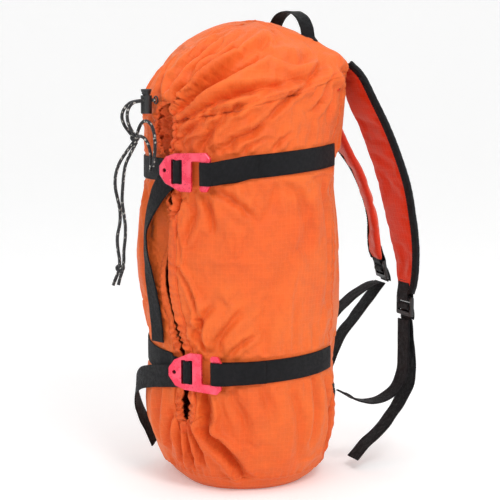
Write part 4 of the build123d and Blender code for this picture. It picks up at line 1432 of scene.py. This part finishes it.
# %% Padding
def strap_pillow(name, side, route):
    """The padded body of one shoulder strap."""
    centre, across, face, size, run = strap_frames(side, route, 0.0032)
    places = 15
    points, faces, corner_map, held = [], [], [], []
    sides = 2 * places
    for i in range(len(centre)):
        end = min(run[i], run[-1] - run[i])
        for k in range(sides):
            x = -1 + 2 * (k + 0.5) / places if k < places else 1 - 2 * (k - places + 0.5) / places
            rise = 0.0012 + 0.0026 * (1 - x ** 4) * min(1, 0.35 + end / 0.02)
            quilt = 0.00035 * noise(Vector((run[i] * 55, x * 1.7, side * 9 + (k < places)))) * (1 - x * x)
            height = (rise + quilt) * (1 if k < places else -1)
            points.append(centre[i] + across[i] * HALF_STRAP * 0.985 * size[i] * x + face[i] * height)
            held.append(1.0 if abs(x) > 0.9 or end < 0.006 else 0.0)
    for i in range(len(centre) - 1):
        for k in range(sides):
            n = (k + 1) % sides
            faces.append([i * sides + k, i * sides + n, (i + 1) * sides + n, (i + 1) * sides + k])
            for row, column in ((i, k), (i, n), (i + 1, n), (i + 1, k)):
                x = column if column < places else sides - column
                corner_map.append((x / places * 0.06 * size[row], run[row]))
    for row in (0, len(centre) - 1):
        for k in range(places - 1):
            start, far = row * sides + k, (row + 1) * sides - 2 - k
            corners = [start, start + 1, far, far + 1]
            faces.append(corners if row else corners[::-1])
            corner_map += [(k * 0.004, run[row])] * 4
    pillow = mesh_object(name, points, faces, strap_cloth, corner_map)
    group = pillow.vertex_groups.new(name="edge")
    for index, weight in enumerate(held):
        if weight:
            group.add([index], weight, "REPLACE")
    turn_outward(pillow)
    simulate(pillow, 16, "edge", 0.035, 1.2, 0.0016, bending=0.4)
    smoother = pillow.modifiers.new("rounding", "SUBSURF")
    smoother.levels = 1
    smoother.render_levels = 1
    apply_all(pillow)
    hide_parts(f"{name.split('_')[0]}_strap_cover", f"{name.split('_')[0]}_strap_pad")
    return pillow


# %% Binding
TAPE_PROFILE = [
    (-0.0062, 0.0030), (-0.0050, 0.0036), (-0.0020, 0.0034), (0.0008, 0.0026), (0.0020, 0.0012),
    (0.0023, 0.0), (0.0020, -0.0012), (0.0008, -0.0026), (-0.0020, -0.0034), (-0.0050, -0.0036),
    (-0.0062, -0.0030), (-0.0058, -0.0020), (-0.0020, -0.0016), (0.0004, 0.0), (-0.0020, 0.0016),
    (-0.0058, 0.0020),
]
TAPE_MIDDLE = 0.0125


def strap_binding(name, side, route):
    """Folded black tape along the strap's outer edge, with a row of stitches each side."""
    centre, across, face, size, run = strap_frames(side, route, 0.0028)
    rows, points, stitches = [], [], []
    sides = len(TAPE_PROFILE)
    for i in range(len(centre)):
        edge = centre[i] + across[i] * side * (HALF_STRAP * size[i] + 0.0012)
        sway = 0.0003 * noise(Vector((run[i] * 70, 2.2, side)))
        for x, h in TAPE_PROFILE:
            height = h * (1 + 0.05 * math.sin(run[i] * 700))
            points.append(edge + across[i] * side * (x + sway) + face[i] * height)
        rows.append(edge)

    def corner_of(row, place):
        return TAPE_MIDDLE + TAPE_PROFILE[place % sides][0] * 0.6, run[row]

    tape = sleeve(name, points, sides, corner_of, black_webbing)
    turn_outward(tape)
    for i in range(1, len(centre) - 1):
        for turn in (1, -1):
            start = rows[i] + across[i] * side * -0.0047 + face[i] * turn * 0.0037
            stitches.append((start, start + (rows[i + 1] - rows[i]) * 0.66, face[i] * turn))
    sewn = tacks(f"{name}_stitches", stitches, black_thread, 0.00032)
    return tape, sewn


print("binding is ready:", len(TAPE_PROFILE), "points round the tape")

# %% Make both shoulder straps
harness = {}
for side, name, route in ((1, "right", RIGHT_STRAP), (-1, "left", LEFT_STRAP)):
    body = f"{name}_shoulder_strap"
    pillow = strap_pillow(f"{name}_strap_padding", side, route)
    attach(pillow, body)
    tape, sewn = strap_binding(f"{name}_edge_binding", side, route)
    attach(tape, body)
    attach(sewn, body)
    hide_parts(f"{name}_strap_binding")
    harness[f"{name}_strap"] = pillow
print("shoulder straps:", ", ".join(harness))


# %% [markdown]
# Below each strap a ladder lock joins it to the webbing. Three webbings pass through it: a short sewn tab
# hangs it from the strap, the anchored strand comes up round its middle bar, and the free tail goes back
# down over the lower bar.

# %% Webbing of the harness
HARNESS_ROUTES = {
    "right_anchor_webbing": [
        (0.181, 0.1650), (0.181, 0.150), (0.181, 0.125), (0.1795, 0.104), (0.172, 0.088), (0.157, 0.078),
        (0.138, 0.075), (0.120, 0.079), (0.107, 0.087), (0.1025, 0.0895),
    ],
    "right_tail_webbing": [
        (0.1852, 0.1660), (0.1865, 0.148), (0.1895, 0.124), (0.1905, 0.106), (0.187, 0.089), (0.177, 0.072),
        (0.165, 0.056), (0.151, 0.041), (0.134, 0.028), (0.117, 0.012),
    ],
    "left_anchor_webbing": [
        (0.1975, 0.1935), (0.189, 0.192), (0.177, 0.187), (0.163, 0.179), (0.150, 0.169), (0.137, 0.157),
        (0.124, 0.140), (0.114, 0.120), (0.107, 0.1035), (0.1025, 0.0995),
    ],
    "left_tail_webbing": [
        (0.201, 0.194), (0.1925, 0.183), (0.180, 0.170), (0.165, 0.152), (0.152, 0.138), (0.141, 0.120),
        (0.132, 0.100),
    ],
}
LOCKS = {"right": (0.045, 0.1825, 0.181, 0, 0), "left": (-0.045, 0.202, 0.2095, 12, -8)}


def lock_point(name, x, up, out):
    """A point in a ladder lock's own plane: x across it, up along it and out of its face."""
    cx, cy, cz, lean, twist = LOCKS[name]
    tilt = math.radians(90 + lean)
    turn = math.radians(twist)
    y = up * math.cos(tilt) - out * math.sin(tilt)
    z = up * math.sin(tilt) + out * math.cos(tilt)
    aside = np.array([math.cos(turn), math.sin(turn), 0])
    outward = np.array([-math.sin(turn), math.cos(turn), 0])
    return np.array([cx, cy, cz + z]) + aside * x + outward * y


# places in a ladder lock's plane: up along it and out of its face
ROUND_THE_LOWER_BAR = [
    (-0.0150, -0.0018), (-0.0105, -0.0022), (-0.0062, -0.0022), (-0.0040, -0.0005), (-0.0028, 0.0022),
    (0.0000, 0.0032), (0.0024, 0.0022), (0.0034, -0.0008), (0.0016, -0.0030), (-0.0040, -0.0045),
    (-0.0098, -0.0052), (-0.0150, -0.0048),
]
ROUND_THE_UPPER_BAR = [
    (0.0290, 0.0016), (0.0200, 0.0024), (0.0120, 0.0034), (0.0085, 0.0028), (0.0060, 0.0012),
    (0.0056, -0.0010), (0.0075, -0.0030), (0.0120, -0.0034), (0.0200, -0.0022), (0.0290, -0.0014),
]
print("harness routes:", ", ".join(HARNESS_ROUTES))

# %% Thread the ladder locks
for side, name in ((1, "right"), (-1, "left")):
    body = f"{name}_shoulder_strap"
    x = side * STRAP_APART
    across = np.array([1.0, 0, 0])
    twist = math.radians(LOCKS[name][4])
    lock_across = np.array([math.cos(twist), math.sin(twist), 0])
    route = HARNESS_ROUTES[f"{name}_anchor_webbing"]
    piece = ribbon(f"{name}_anchored_strand", [(np.array([x, y, z]), across) for y, z in route], TAIL_WIDTH,
                   black_webbing, wander=0.0005)
    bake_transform(piece)
    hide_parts(f"{name}_anchor_webbing")
    harness[f"{name}_anchored"] = piece
    route = HARNESS_ROUTES[f"{name}_tail_webbing"]
    piece = ribbon(f"{name}_free_tail", [(np.array([x, y, z]), across) for y, z in route], TAIL_WIDTH,
                   black_webbing, wander=0.0006)
    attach(piece, body)
    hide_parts(f"{name}_tail_webbing")
    harness[f"{name}_free_tail"] = piece

    stations = [(lock_point(name, 0, up, out), lock_across) for up, out in ROUND_THE_LOWER_BAR]
    piece = ribbon(f"{name}_turn_in_lock", stations, 0.0243, black_webbing, thickness=0.0014, step=0.0014)
    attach(piece, f"{name}_ladder_lock")
    harness[f"{name}_turn"] = piece
    stations = [(lock_point(name, 0, up, out), lock_across) for up, out in ROUND_THE_UPPER_BAR]
    piece = ribbon(f"{name}_lock_tab", stations, 0.0240, black_webbing, thickness=0.0014, step=0.0016)
    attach(piece, body)
    harness[f"{name}_tab"] = piece
    tab_stitches = []
    lift = lock_point(name, 0, 0, 1) - lock_point(name, 0, 0, 0)
    for level in (0.0165, 0.0265):
        out = 0.0035 - (level - 0.0165) * 0.08
        for k in range(9):
            start = -0.0098 + k * 0.0022
            first = lock_point(name, start, level, out)
            second = lock_point(name, start + 0.0015, level, out)
            tab_stitches.append((first, second, lift))
    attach(tacks(f"{name}_tab_stitches", tab_stitches, black_thread), body)
print("harness webbing:", len(harness), "pieces")


# %% [markdown]
# The straps are sewn to a yoke of the strap cloth on the bag's shoulder, and the anchored strands to two
# triangular tabs low on the back. The yoke is a patch that follows the dome, so it is made from the dome's
# own surface, lifted and given some thickness.

# %% Patch helpers
def dome_surface(x, y):
    """Height of the domed top at a place."""
    return DOME_LEVEL + math.sqrt(max(DOME_RADIUS ** 2 - x * x - (y - DOME_BACK) ** 2, 0))


def back_surface(x, z, lift):
    """The point of the bag's back at a width and height, lift metres out."""
    radius = float(wall_radius(z))
    if z > DOME_LEVEL:
        reach = math.sqrt(max(DOME_RADIUS ** 2 - (z - DOME_LEVEL) ** 2, 0))
        radius = min(radius, DOME_BACK + reach)
    radius += lift
    angle = math.asin(max(-1, min(1, x / radius)))
    return np.array([x, radius * math.cos(angle), z])


def patch(name, columns, rows, place, thickness, finish):
    """A sewn patch: place(u, v) gives its points for u and v from 0 to 1, and it is given a thickness."""
    points, faces, corner_map = [], [], []
    for j in range(rows + 1):
        for i in range(columns + 1):
            points.append(place(i / columns, j / rows))
    for j in range(rows):
        for i in range(columns):
            a = j * (columns + 1) + i
            faces.append([a, a + 1, a + columns + 2, a + columns + 1])
            corner_map += [(points[k][0], points[k][2]) for k in faces[-1]]
    piece = mesh_object(name, points, faces, finish, corner_map)
    shell = piece.modifiers.new("thickness", "SOLIDIFY")
    shell.thickness = thickness
    shell.offset = 0
    apply_all(piece)
    turn_outward(piece)
    return piece


def sewn_on(name, place, rows, share, lift):
    """Stitches on a patch, lift metres out: each row has a start, an end and a count of stitches."""
    lines = []
    out = np.array([0, lift, 0])
    for start, end, count in rows:
        start, way = np.array(start), np.array(end) - np.array(start)
        for k in range(count):
            first = place(*(start + way * k / count))
            second = place(*(start + way * (k + share) / count))
            lines.append((first + out, second + out, (0, 1, 0)))
    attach(tacks(name, lines, black_thread), "bag")


print("patch helpers ready")


# %% Yoke
def yoke_place(u, v):
    """The yoke's surface: u across the back and v up it."""
    x = -0.079 + 0.158 * u
    z = 0.4245 + 0.0190 * v
    point = back_surface(x, z, 0.0016)
    pucker = 0.0006 * math.sin(u * 190) * abs(2 * v - 1) ** 3
    return point + np.array([0, 1, 0]) * (pucker + 0.0006 * (1 - abs(2 * v - 1) ** 4))


yoke = patch("strap_yoke_patch", 96, 12, yoke_place, 0.0014, strap_cloth)
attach(yoke, "bag")
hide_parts("strap_yoke")
yoke_rows = [((0.01, v), (0.9876, v), 52) for v in (0.12, 0.20, 0.80, 0.88)]
sewn_on("yoke_stitches", yoke_place, yoke_rows, 0.665, 0.0011)
print("yoke sewn with", len(yoke_rows), "rows")

# %% Anchor tabs
EDGE_LOW = 0.12
EDGE_HIGH = 0.88
BOX_AND_CROSS = [
    ((EDGE_LOW, EDGE_LOW), (EDGE_HIGH, EDGE_LOW), 11), ((EDGE_LOW, EDGE_HIGH), (EDGE_HIGH, EDGE_HIGH), 11),
    ((EDGE_LOW, EDGE_LOW), (EDGE_LOW, EDGE_HIGH), 11), ((EDGE_HIGH, EDGE_LOW), (EDGE_HIGH, EDGE_HIGH), 11),
    ((EDGE_LOW, EDGE_LOW), (EDGE_HIGH, EDGE_HIGH), 11), ((EDGE_HIGH, EDGE_LOW), (EDGE_LOW, EDGE_HIGH), 11),
]
for side, name, level in ((1, "right", 0.090), (-1, "left", 0.100)):
    def tab_place(u, v, side=side, level=level):
        """The tab's surface: u across it and v up it."""
        half = 0.0168 - 0.0030 * v
        x = side * STRAP_APART + (2 * u - 1) * half
        z = level - 0.0115 + 0.023 * v
        point = back_surface(x, z, 0.0009)
        point[1] += 0.0016 * math.exp(-((v - 0.5) / 0.3) ** 2)
        return point

    tab = patch(f"{name}_anchor_patch", 20, 14, tab_place, 0.0016, black_webbing)
    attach(tab, "bag")
    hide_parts(f"{name}_anchor_tab")
    sewn_on(f"{name}_anchor_stitches", tab_place, BOX_AND_CROSS, 0.66, 0.0012)
print("anchor tabs sewn with a box and a cross")

# %% Haul loop
HAUL_Y = 0.060
loop_side = [(0.015, 0.5065), (0.029, 0.501), (0.038, 0.492), (0.0405, 0.4865), (0.042, 0.4815)]
loop_route = [(-x, z) for x, z in loop_side[::-1]] + [(0, 0.508)] + loop_side
stations = [((x, HAUL_Y, z), (0, 1, 0)) for x, z in loop_route]
haul = ribbon("haul_loop_webbing", stations, NARROW_WIDTH, narrow_webbing, step=0.0018, wander=0.0004)
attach(haul, "haul_loop")
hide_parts("haul_loop")
for side in (-1, 1):
    stations = [((side * 0.0415, HAUL_Y, 0.4822), (0, 1, 0))]
    for share in np.linspace(0, 1, 9)[2:]:
        x = side * (0.0420 + 0.0075 * share)
        height = dome_surface(x, HAUL_Y) + 0.0016 + 0.0008 * (1 - share)
        stations.append(((x, HAUL_Y, height), (0, 1, 0)))
    foot = ribbon(f"haul_loop_foot_{'left' if side < 0 else 'right'}", stations, NARROW_WIDTH, narrow_webbing,
                  step=0.0016)
    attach(foot, "bag")
    if side < 0:
        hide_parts("haul_loop_tabs")
print("haul loop has", len(haul.data.polygons), "faces")


# %% [markdown]
# ## Drawcord
# The cord is 3.6 mm braid. Two strands come out of the mouth's channel through the lock and are knotted
# together; two keeper strands go from that knot up and over the upper strap; two more hang down to a second
# knot and end in short tails. Each strand is a smooth spline through its given route, and its tube
# follows that line with a map that runs along it, so that the braid and its flecks twist round evenly.

# %% Cord routes
CORD_DIAMETER = 0.0036
SHORTEST_STEP = 0.0008
CORD_ROUTES = {
    "drawcord_left_strand": [
        (0.0111, -0.1052, 0.416), (0.0111, -0.128, 0.416), (0.0065, -0.136, 0.410),
        (0.0005, -0.1385, 0.4005),
        (-0.0035, -0.1345, 0.390), (-0.005, -0.127, 0.381), (-0.0045, -0.122, 0.375),
    ],
    "drawcord_right_strand": [
        (0.0149, -0.1052, 0.416), (0.0149, -0.128, 0.416), (0.0125, -0.1345, 0.4095),
        (0.0075, -0.135, 0.4005),
        (0.002, -0.131, 0.390), (-0.0005, -0.125, 0.381), (-0.0015, -0.121, 0.375),
    ],
    "keeper_left_strand": [
        (-0.0025, -0.121, 0.376), (0.004, -0.1195, 0.3785), (0.0105, -0.1165, 0.3765),
        (0.015, -0.114, 0.3705),
        (0.0178, -0.1128, 0.362), (0.019, -0.1125, 0.352), (0.0175, -0.1128, 0.341),
    ],
    "keeper_right_strand": [
        (-0.0025, -0.120, 0.379), (-0.0005, -0.118, 0.3875), (0.006, -0.1165, 0.3935),
        (0.014, -0.1145, 0.3945),
        (0.021, -0.1125, 0.3905), (0.0255, -0.1112, 0.382), (0.0272, -0.111, 0.371),
        (0.0264, -0.1114, 0.359),
        (0.0235, -0.112, 0.347),
    ],
    "hanging_left_strand": [
        (-0.004, -0.1225, 0.372), (-0.0055, -0.131, 0.361), (-0.0065, -0.1385, 0.350),
        (-0.007, -0.143, 0.3375),
        (-0.0075, -0.1435, 0.324), (-0.0075, -0.1405, 0.311), (-0.008, -0.1375, 0.298),
        (-0.009, -0.1375, 0.284),
        (-0.0095, -0.141, 0.271), (-0.0098, -0.1402, 0.257), (-0.0096, -0.138, 0.245),
        (-0.0092, -0.139, 0.234),
        (-0.0102, -0.1425, 0.226), (-0.0112, -0.1455, 0.218),
    ],
    "hanging_right_strand": [
        (-0.0013, -0.121, 0.371), (0.0, -0.128, 0.360), (-0.0008, -0.134, 0.3485),
        (-0.0025, -0.1355, 0.3355),
        (-0.0032, -0.1365, 0.322), (-0.0035, -0.1373, 0.3085), (-0.004, -0.135, 0.295),
        (-0.0045, -0.133, 0.2815),
        (-0.005, -0.1333, 0.268), (-0.005, -0.1353, 0.255), (-0.005, -0.135, 0.2435),
        (-0.0055, -0.137, 0.233),
        (-0.0052, -0.140, 0.226), (-0.0056, -0.1415, 0.219),
    ],
}

print(len(CORD_ROUTES), "cord routes")


# %% Tubes and knots
def spline_points(name, route):
    """Points along the smooth NURBS spline that has a route as its control points."""
    data = bpy.data.curves.new(name, "CURVE")
    data.dimensions = "3D"
    spline = data.splines.new("NURBS")
    spline.points.add(len(route) - 1)
    for point, place in zip(spline.points, route):
        point.co = (*place, 1)
    spline.order_u = 3
    spline.use_endpoint_u = True
    spline.resolution_u = 14
    holder = bpy.data.objects.new(name, data)
    bpy.context.scene.collection.objects.link(holder)
    read = bpy.data.meshes.new_from_object(holder)
    line = np.array([v.co for v in read.vertices])
    bpy.data.objects.remove(holder)
    bpy.data.meshes.remove(read)
    bpy.data.curves.remove(data)
    return line


ANY_WAY = (0.3, 0.8, 0.52)


def tube(name, line, radius, finish, sides=14, closed=False):
    """A round tube along a line, its map running round (0 to 1) and along it (in metres)."""
    ahead = np.roll(line, -1, axis=0) - np.roll(line, 1, axis=0) if closed else np.gradient(line, axis=0)
    ahead = unit(ahead)
    run = run_along(line)
    run = np.append(run, run[-1] + 0.001)
    side = np.cross(ahead[0], ANY_WAY)
    points = []
    for i, place in enumerate(line):
        side = unit(side - ahead[i] * np.dot(side, ahead[i]))
        other = np.cross(ahead[i], side)
        for k in range(sides):
            turn = 2 * math.pi * k / sides
            points.append(place + (side * math.cos(turn) + other * math.sin(turn)) * radius)
    piece = sleeve(name, points, sides, lambda row, place: (place / sides, run[row]), finish, closed)
    turn_outward(piece)
    return piece


def knot(name, centre, size, tall, finish):
    """An overhand knot pulled tight: a trefoil of the cord itself, closed on itself."""
    turns = np.linspace(0, 2 * math.pi, 96, endpoint=False)
    x = (np.sin(turns) + 2 * np.sin(2 * turns)) * size
    y = (np.cos(turns) - 2 * np.cos(2 * turns)) * size * tall
    z = -np.sin(3 * turns) * 0.0017
    view = np.array(camera_right)
    depth = np.cross(view, UPRIGHT)
    line = np.array(centre) + np.outer(x, view) + np.outer(y, UPRIGHT) + np.outer(z, depth)
    return tube(name, line, CORD_DIAMETER / 2, finish, 12, closed=True)


print("tube and knot helpers ready")

# %% Cords and knots
drawcord_knot = knot("drawcord_overhand_knot", (-0.003, -0.122, 0.3745), 0.00125, 1.1, flecked_cord)
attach(drawcord_knot, "bag")
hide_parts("drawcord_knot")
end_knot = knot("end_overhand_knot", (-0.0075, -0.1385, 0.2355), 0.00125, 1.25, flecked_cord)
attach(end_knot, "bag")
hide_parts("end_knot")
for name, route in CORD_ROUTES.items():
    line = spline_points(f"{name}_line", route)
    keep = [0]
    for i in range(1, len(line)):
        if np.linalg.norm(line[i] - line[keep[-1]]) > SHORTEST_STEP:
            keep.append(i)
    line = line[keep]
    measured = float(run_along(line)[-1])
    piece = tube(f"{name}_braid", line, CORD_DIAMETER / 2, flecked_cord)
    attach(piece, "bag")
    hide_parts(name)
    tuple(line[0])
    [tuple(p) for p in line]
    print(name, "is", round(measured * 1000, 1), "mm along its line")


# %% [markdown]
# ## Cord lock and eyelet
# The lock is turned from a cylinder: the top is inset and sunk to make the barrel's well, the edges are
# bevelled, and a slot for the two strands is cut through barrel and button alike. The button is a second
# cylinder, extruded up into its cap, and the spring under it is a true coil.

# %% Cord lock helpers
LOCK_CENTRE = Vector((0.013, -0.115, 0.4115))
BARREL_RADIUS = 0.0059
BARREL_HEIGHT = 0.019
BARREL_WALL = 0.0008
WELL_DEPTH = 0.0165
BUTTON_RADIUS = 0.0048
BUTTON_TOP = 0.4245
BUTTON_HEIGHT = 0.0140
CAP_RADIUS = 0.0056
CAP_FLARE = 0.0007
CAP_HEIGHT = 0.0024
SLOT_WIDTH = 0.0082
SLOT_LOW = 0.4138
COIL_RADIUS = 0.0032
COIL_TURNS = 5


def flat_top(mesh_edit, height):
    """Selects the faces of the mesh in edit mode whose centre is at a height."""
    model = bmesh.from_edit_mesh(mesh_edit)
    for face in model.faces:
        face.select = abs(face.calc_center_median().z - height) < 0.0001 and abs(face.normal.z) > 0.9
    bmesh.update_edit_mesh(mesh_edit)


def cut_slot(piece, low, high):
    """Cuts the strands' slot right through a piece, from low to high."""
    bpy.ops.object.select_all(action="DESELECT")
    bpy.ops.mesh.primitive_cube_add(size=1, location=(LOCK_CENTRE.x, LOCK_CENTRE.y, (low + high) / 2))
    cutter = bpy.context.object
    cutter.dimensions = (SLOT_WIDTH, 0.04, high - low)
    bpy.ops.object.transform_apply(location=True, rotation=True, scale=True)
    cut = piece.modifiers.new("slot", "BOOLEAN")
    cut.operation = "DIFFERENCE"
    cut.object = cutter
    cut.solver = "EXACT"
    apply_all(piece)
    bpy.data.objects.remove(cutter)


def finish_hard(piece, finish, width, angle=35):
    """Bevels a hard piece's sharp edges, shades it and gives it its finish."""
    edge = piece.modifiers.new("edges", "BEVEL")
    edge.width = width
    edge.segments = 3
    edge.limit_method = "ANGLE"
    edge.angle_limit = math.radians(angle)
    apply_all(piece)
    piece.data.materials.clear()
    piece.data.materials.append(finish)
    bpy.ops.object.shade_smooth_by_angle(angle=math.radians(40))


def place_at_origin(piece):
    """Moves a piece's place into its mesh."""
    select_only(piece)
    bpy.ops.object.transform_apply(location=True, rotation=True, scale=True)


def extrude_up(height):
    """Extrudes the selected faces straight up, or down if the height is negative."""
    bpy.ops.mesh.extrude_region_move(TRANSFORM_OT_translate={"value": (0, 0, height)})


print("cord lock helpers ready")

# %% Barrel
bpy.ops.object.select_all(action="DESELECT")
bpy.ops.mesh.primitive_cylinder_add(vertices=40, radius=BARREL_RADIUS, depth=BARREL_HEIGHT,
                                    location=LOCK_CENTRE)
barrel = bpy.context.object
barrel.name = "cord_lock_turned_barrel"
place_at_origin(barrel)
bpy.ops.object.mode_set(mode="EDIT")
bpy.ops.mesh.select_all(action="DESELECT")
flat_top(barrel.data, LOCK_CENTRE.z + BARREL_HEIGHT / 2)
bpy.ops.mesh.inset(thickness=BARREL_WALL)
extrude_up(-WELL_DEPTH)
bpy.ops.object.mode_set(mode="OBJECT")
cut_slot(barrel, SLOT_LOW, 0.4182)
finish_hard(barrel, black_plastic, 0.0004)
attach(barrel, "cord_lock")
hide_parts("cord_lock_barrel")
print("barrel has", len(barrel.data.polygons), "faces")

# %% Button
bpy.ops.object.select_all(action="DESELECT")
bpy.ops.mesh.primitive_cylinder_add(vertices=40, radius=BUTTON_RADIUS, depth=BUTTON_HEIGHT,
                                    location=(LOCK_CENTRE.x, LOCK_CENTRE.y, BUTTON_TOP - BUTTON_HEIGHT / 2))
button = bpy.context.object
button.name = "cord_lock_turned_button"
place_at_origin(button)
bpy.ops.object.mode_set(mode="EDIT")
bpy.ops.mesh.select_all(action="DESELECT")
flat_top(button.data, BUTTON_TOP)
extrude_up(CAP_FLARE)
flare = CAP_RADIUS / BUTTON_RADIUS
bpy.ops.transform.resize(value=(flare, flare, 1),
                         center_override=(LOCK_CENTRE.x, LOCK_CENTRE.y, BUTTON_TOP + CAP_FLARE))
extrude_up(CAP_HEIGHT)
for depth in (-0.0004, 0.0004, -0.0004):
    bpy.ops.mesh.inset(thickness=0.0010)
    extrude_up(depth)
bpy.ops.object.mode_set(mode="OBJECT")
cut_slot(button, SLOT_LOW, 0.4222)
finish_hard(button, black_plastic, 0.0002)
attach(button, "cord_lock_button")
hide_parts("cord_lock_button")
print("button has", len(button.data.polygons), "faces")

# %% Coil and eyelet
coil_turns = np.linspace(0, COIL_TURNS * 2 * math.pi, 150)
coil_line = np.stack([
    LOCK_CENTRE.x + COIL_RADIUS * np.cos(coil_turns), LOCK_CENTRE.y + COIL_RADIUS * np.sin(coil_turns),
    0.4045 + 0.0055 * coil_turns / coil_turns[-1],
], -1)
coil = tube("cord_lock_coil_spring", coil_line, 0.0004, spring_steel, 8)
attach(coil, "cord_lock")
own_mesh(coil)
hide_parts("cord_lock_spring")

bpy.ops.object.select_all(action="DESELECT")
bpy.ops.mesh.primitive_torus_add(major_radius=0.0042, minor_radius=0.0009, major_segments=40,
                                 minor_segments=12, location=(LOCK_CENTRE.x, -0.1042, 0.416),
                                 rotation=(math.radians(90), 0, 0))
eyelet = bpy.context.object
eyelet.name = "cord_eyelet_ring"
eyelet.scale = (1.2, 0.9, 1)
place_at_origin(eyelet)
finish_hard(eyelet, black_plastic, 0.0001, 80)
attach(eyelet, "bag")
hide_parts("cord_eyelet")
print("coil has", len(coil.data.polygons), "faces")


# %% [markdown]
# Two webbing rings inside the bag hold the rope's ends. They are plain ribbons bent into rings.

# %% Rope tie loops
TIE_RADIUS = 0.0142
for name, centre, turn in (("lower_rope_tie_loop", (-0.040, -0.030, 0.0173), 0),
                           ("upper_rope_tie_loop", (-0.060, -0.050, 0.408), 40)):
    axis = np.array([-math.sin(math.radians(turn)), math.cos(math.radians(turn)), 0])
    flat = np.array([math.cos(math.radians(turn)), math.sin(math.radians(turn)), 0])
    stations = []
    for angle in np.radians(np.linspace(-82, 262, 20)):
        round_ring = flat * math.cos(angle) + UPRIGHT * math.sin(angle)
        stations.append((np.array(centre) + TIE_RADIUS * round_ring, axis))
    ring = ribbon(f"{name}_webbing", stations, 0.0196, blue_webbing)
    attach(ring, "bag")
    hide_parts(name)
print("rope tie loops made")


# %% [markdown]
# ## Floor
# One sheet: a square plane whose far edge, seen from the camera, is pulled up into a backdrop and rounded
# with a bevel, so that no corner shows behind the bag.

# %% Floor and backdrop
FLOOR_SIZE = 12
BACKDROP_HEIGHT = 5
BACKDROP_CURVE = 3.0
bpy.ops.object.select_all(action="DESELECT")
bpy.ops.mesh.primitive_plane_add(size=FLOOR_SIZE, location=(0, 0, -0.0002), rotation=(0, 0, CAMERA_AZIMUTH))
floor = bpy.context.object
floor.name = "studio_floor"
place_at_origin(floor)
backwards = Vector((-math.sin(CAMERA_AZIMUTH), math.cos(CAMERA_AZIMUTH), 0))
bpy.ops.object.mode_set(mode="EDIT")
model = bmesh.from_edit_mesh(floor.data)
for edge in model.edges:
    middle = (edge.verts[0].co + edge.verts[1].co) / 2
    edge.select = middle.dot(backwards) > 5
bmesh.update_edit_mesh(floor.data)
extrude_up(BACKDROP_HEIGHT)
bpy.ops.object.mode_set(mode="OBJECT")
floor.data.materials.clear()
floor.data.materials.append(floor_finish)
curve_up = floor.modifiers.new("sweep", "BEVEL")
curve_up.width = BACKDROP_CURVE
curve_up.segments = 24
apply_all(floor)
bpy.ops.object.shade_smooth()
print("floor laid")
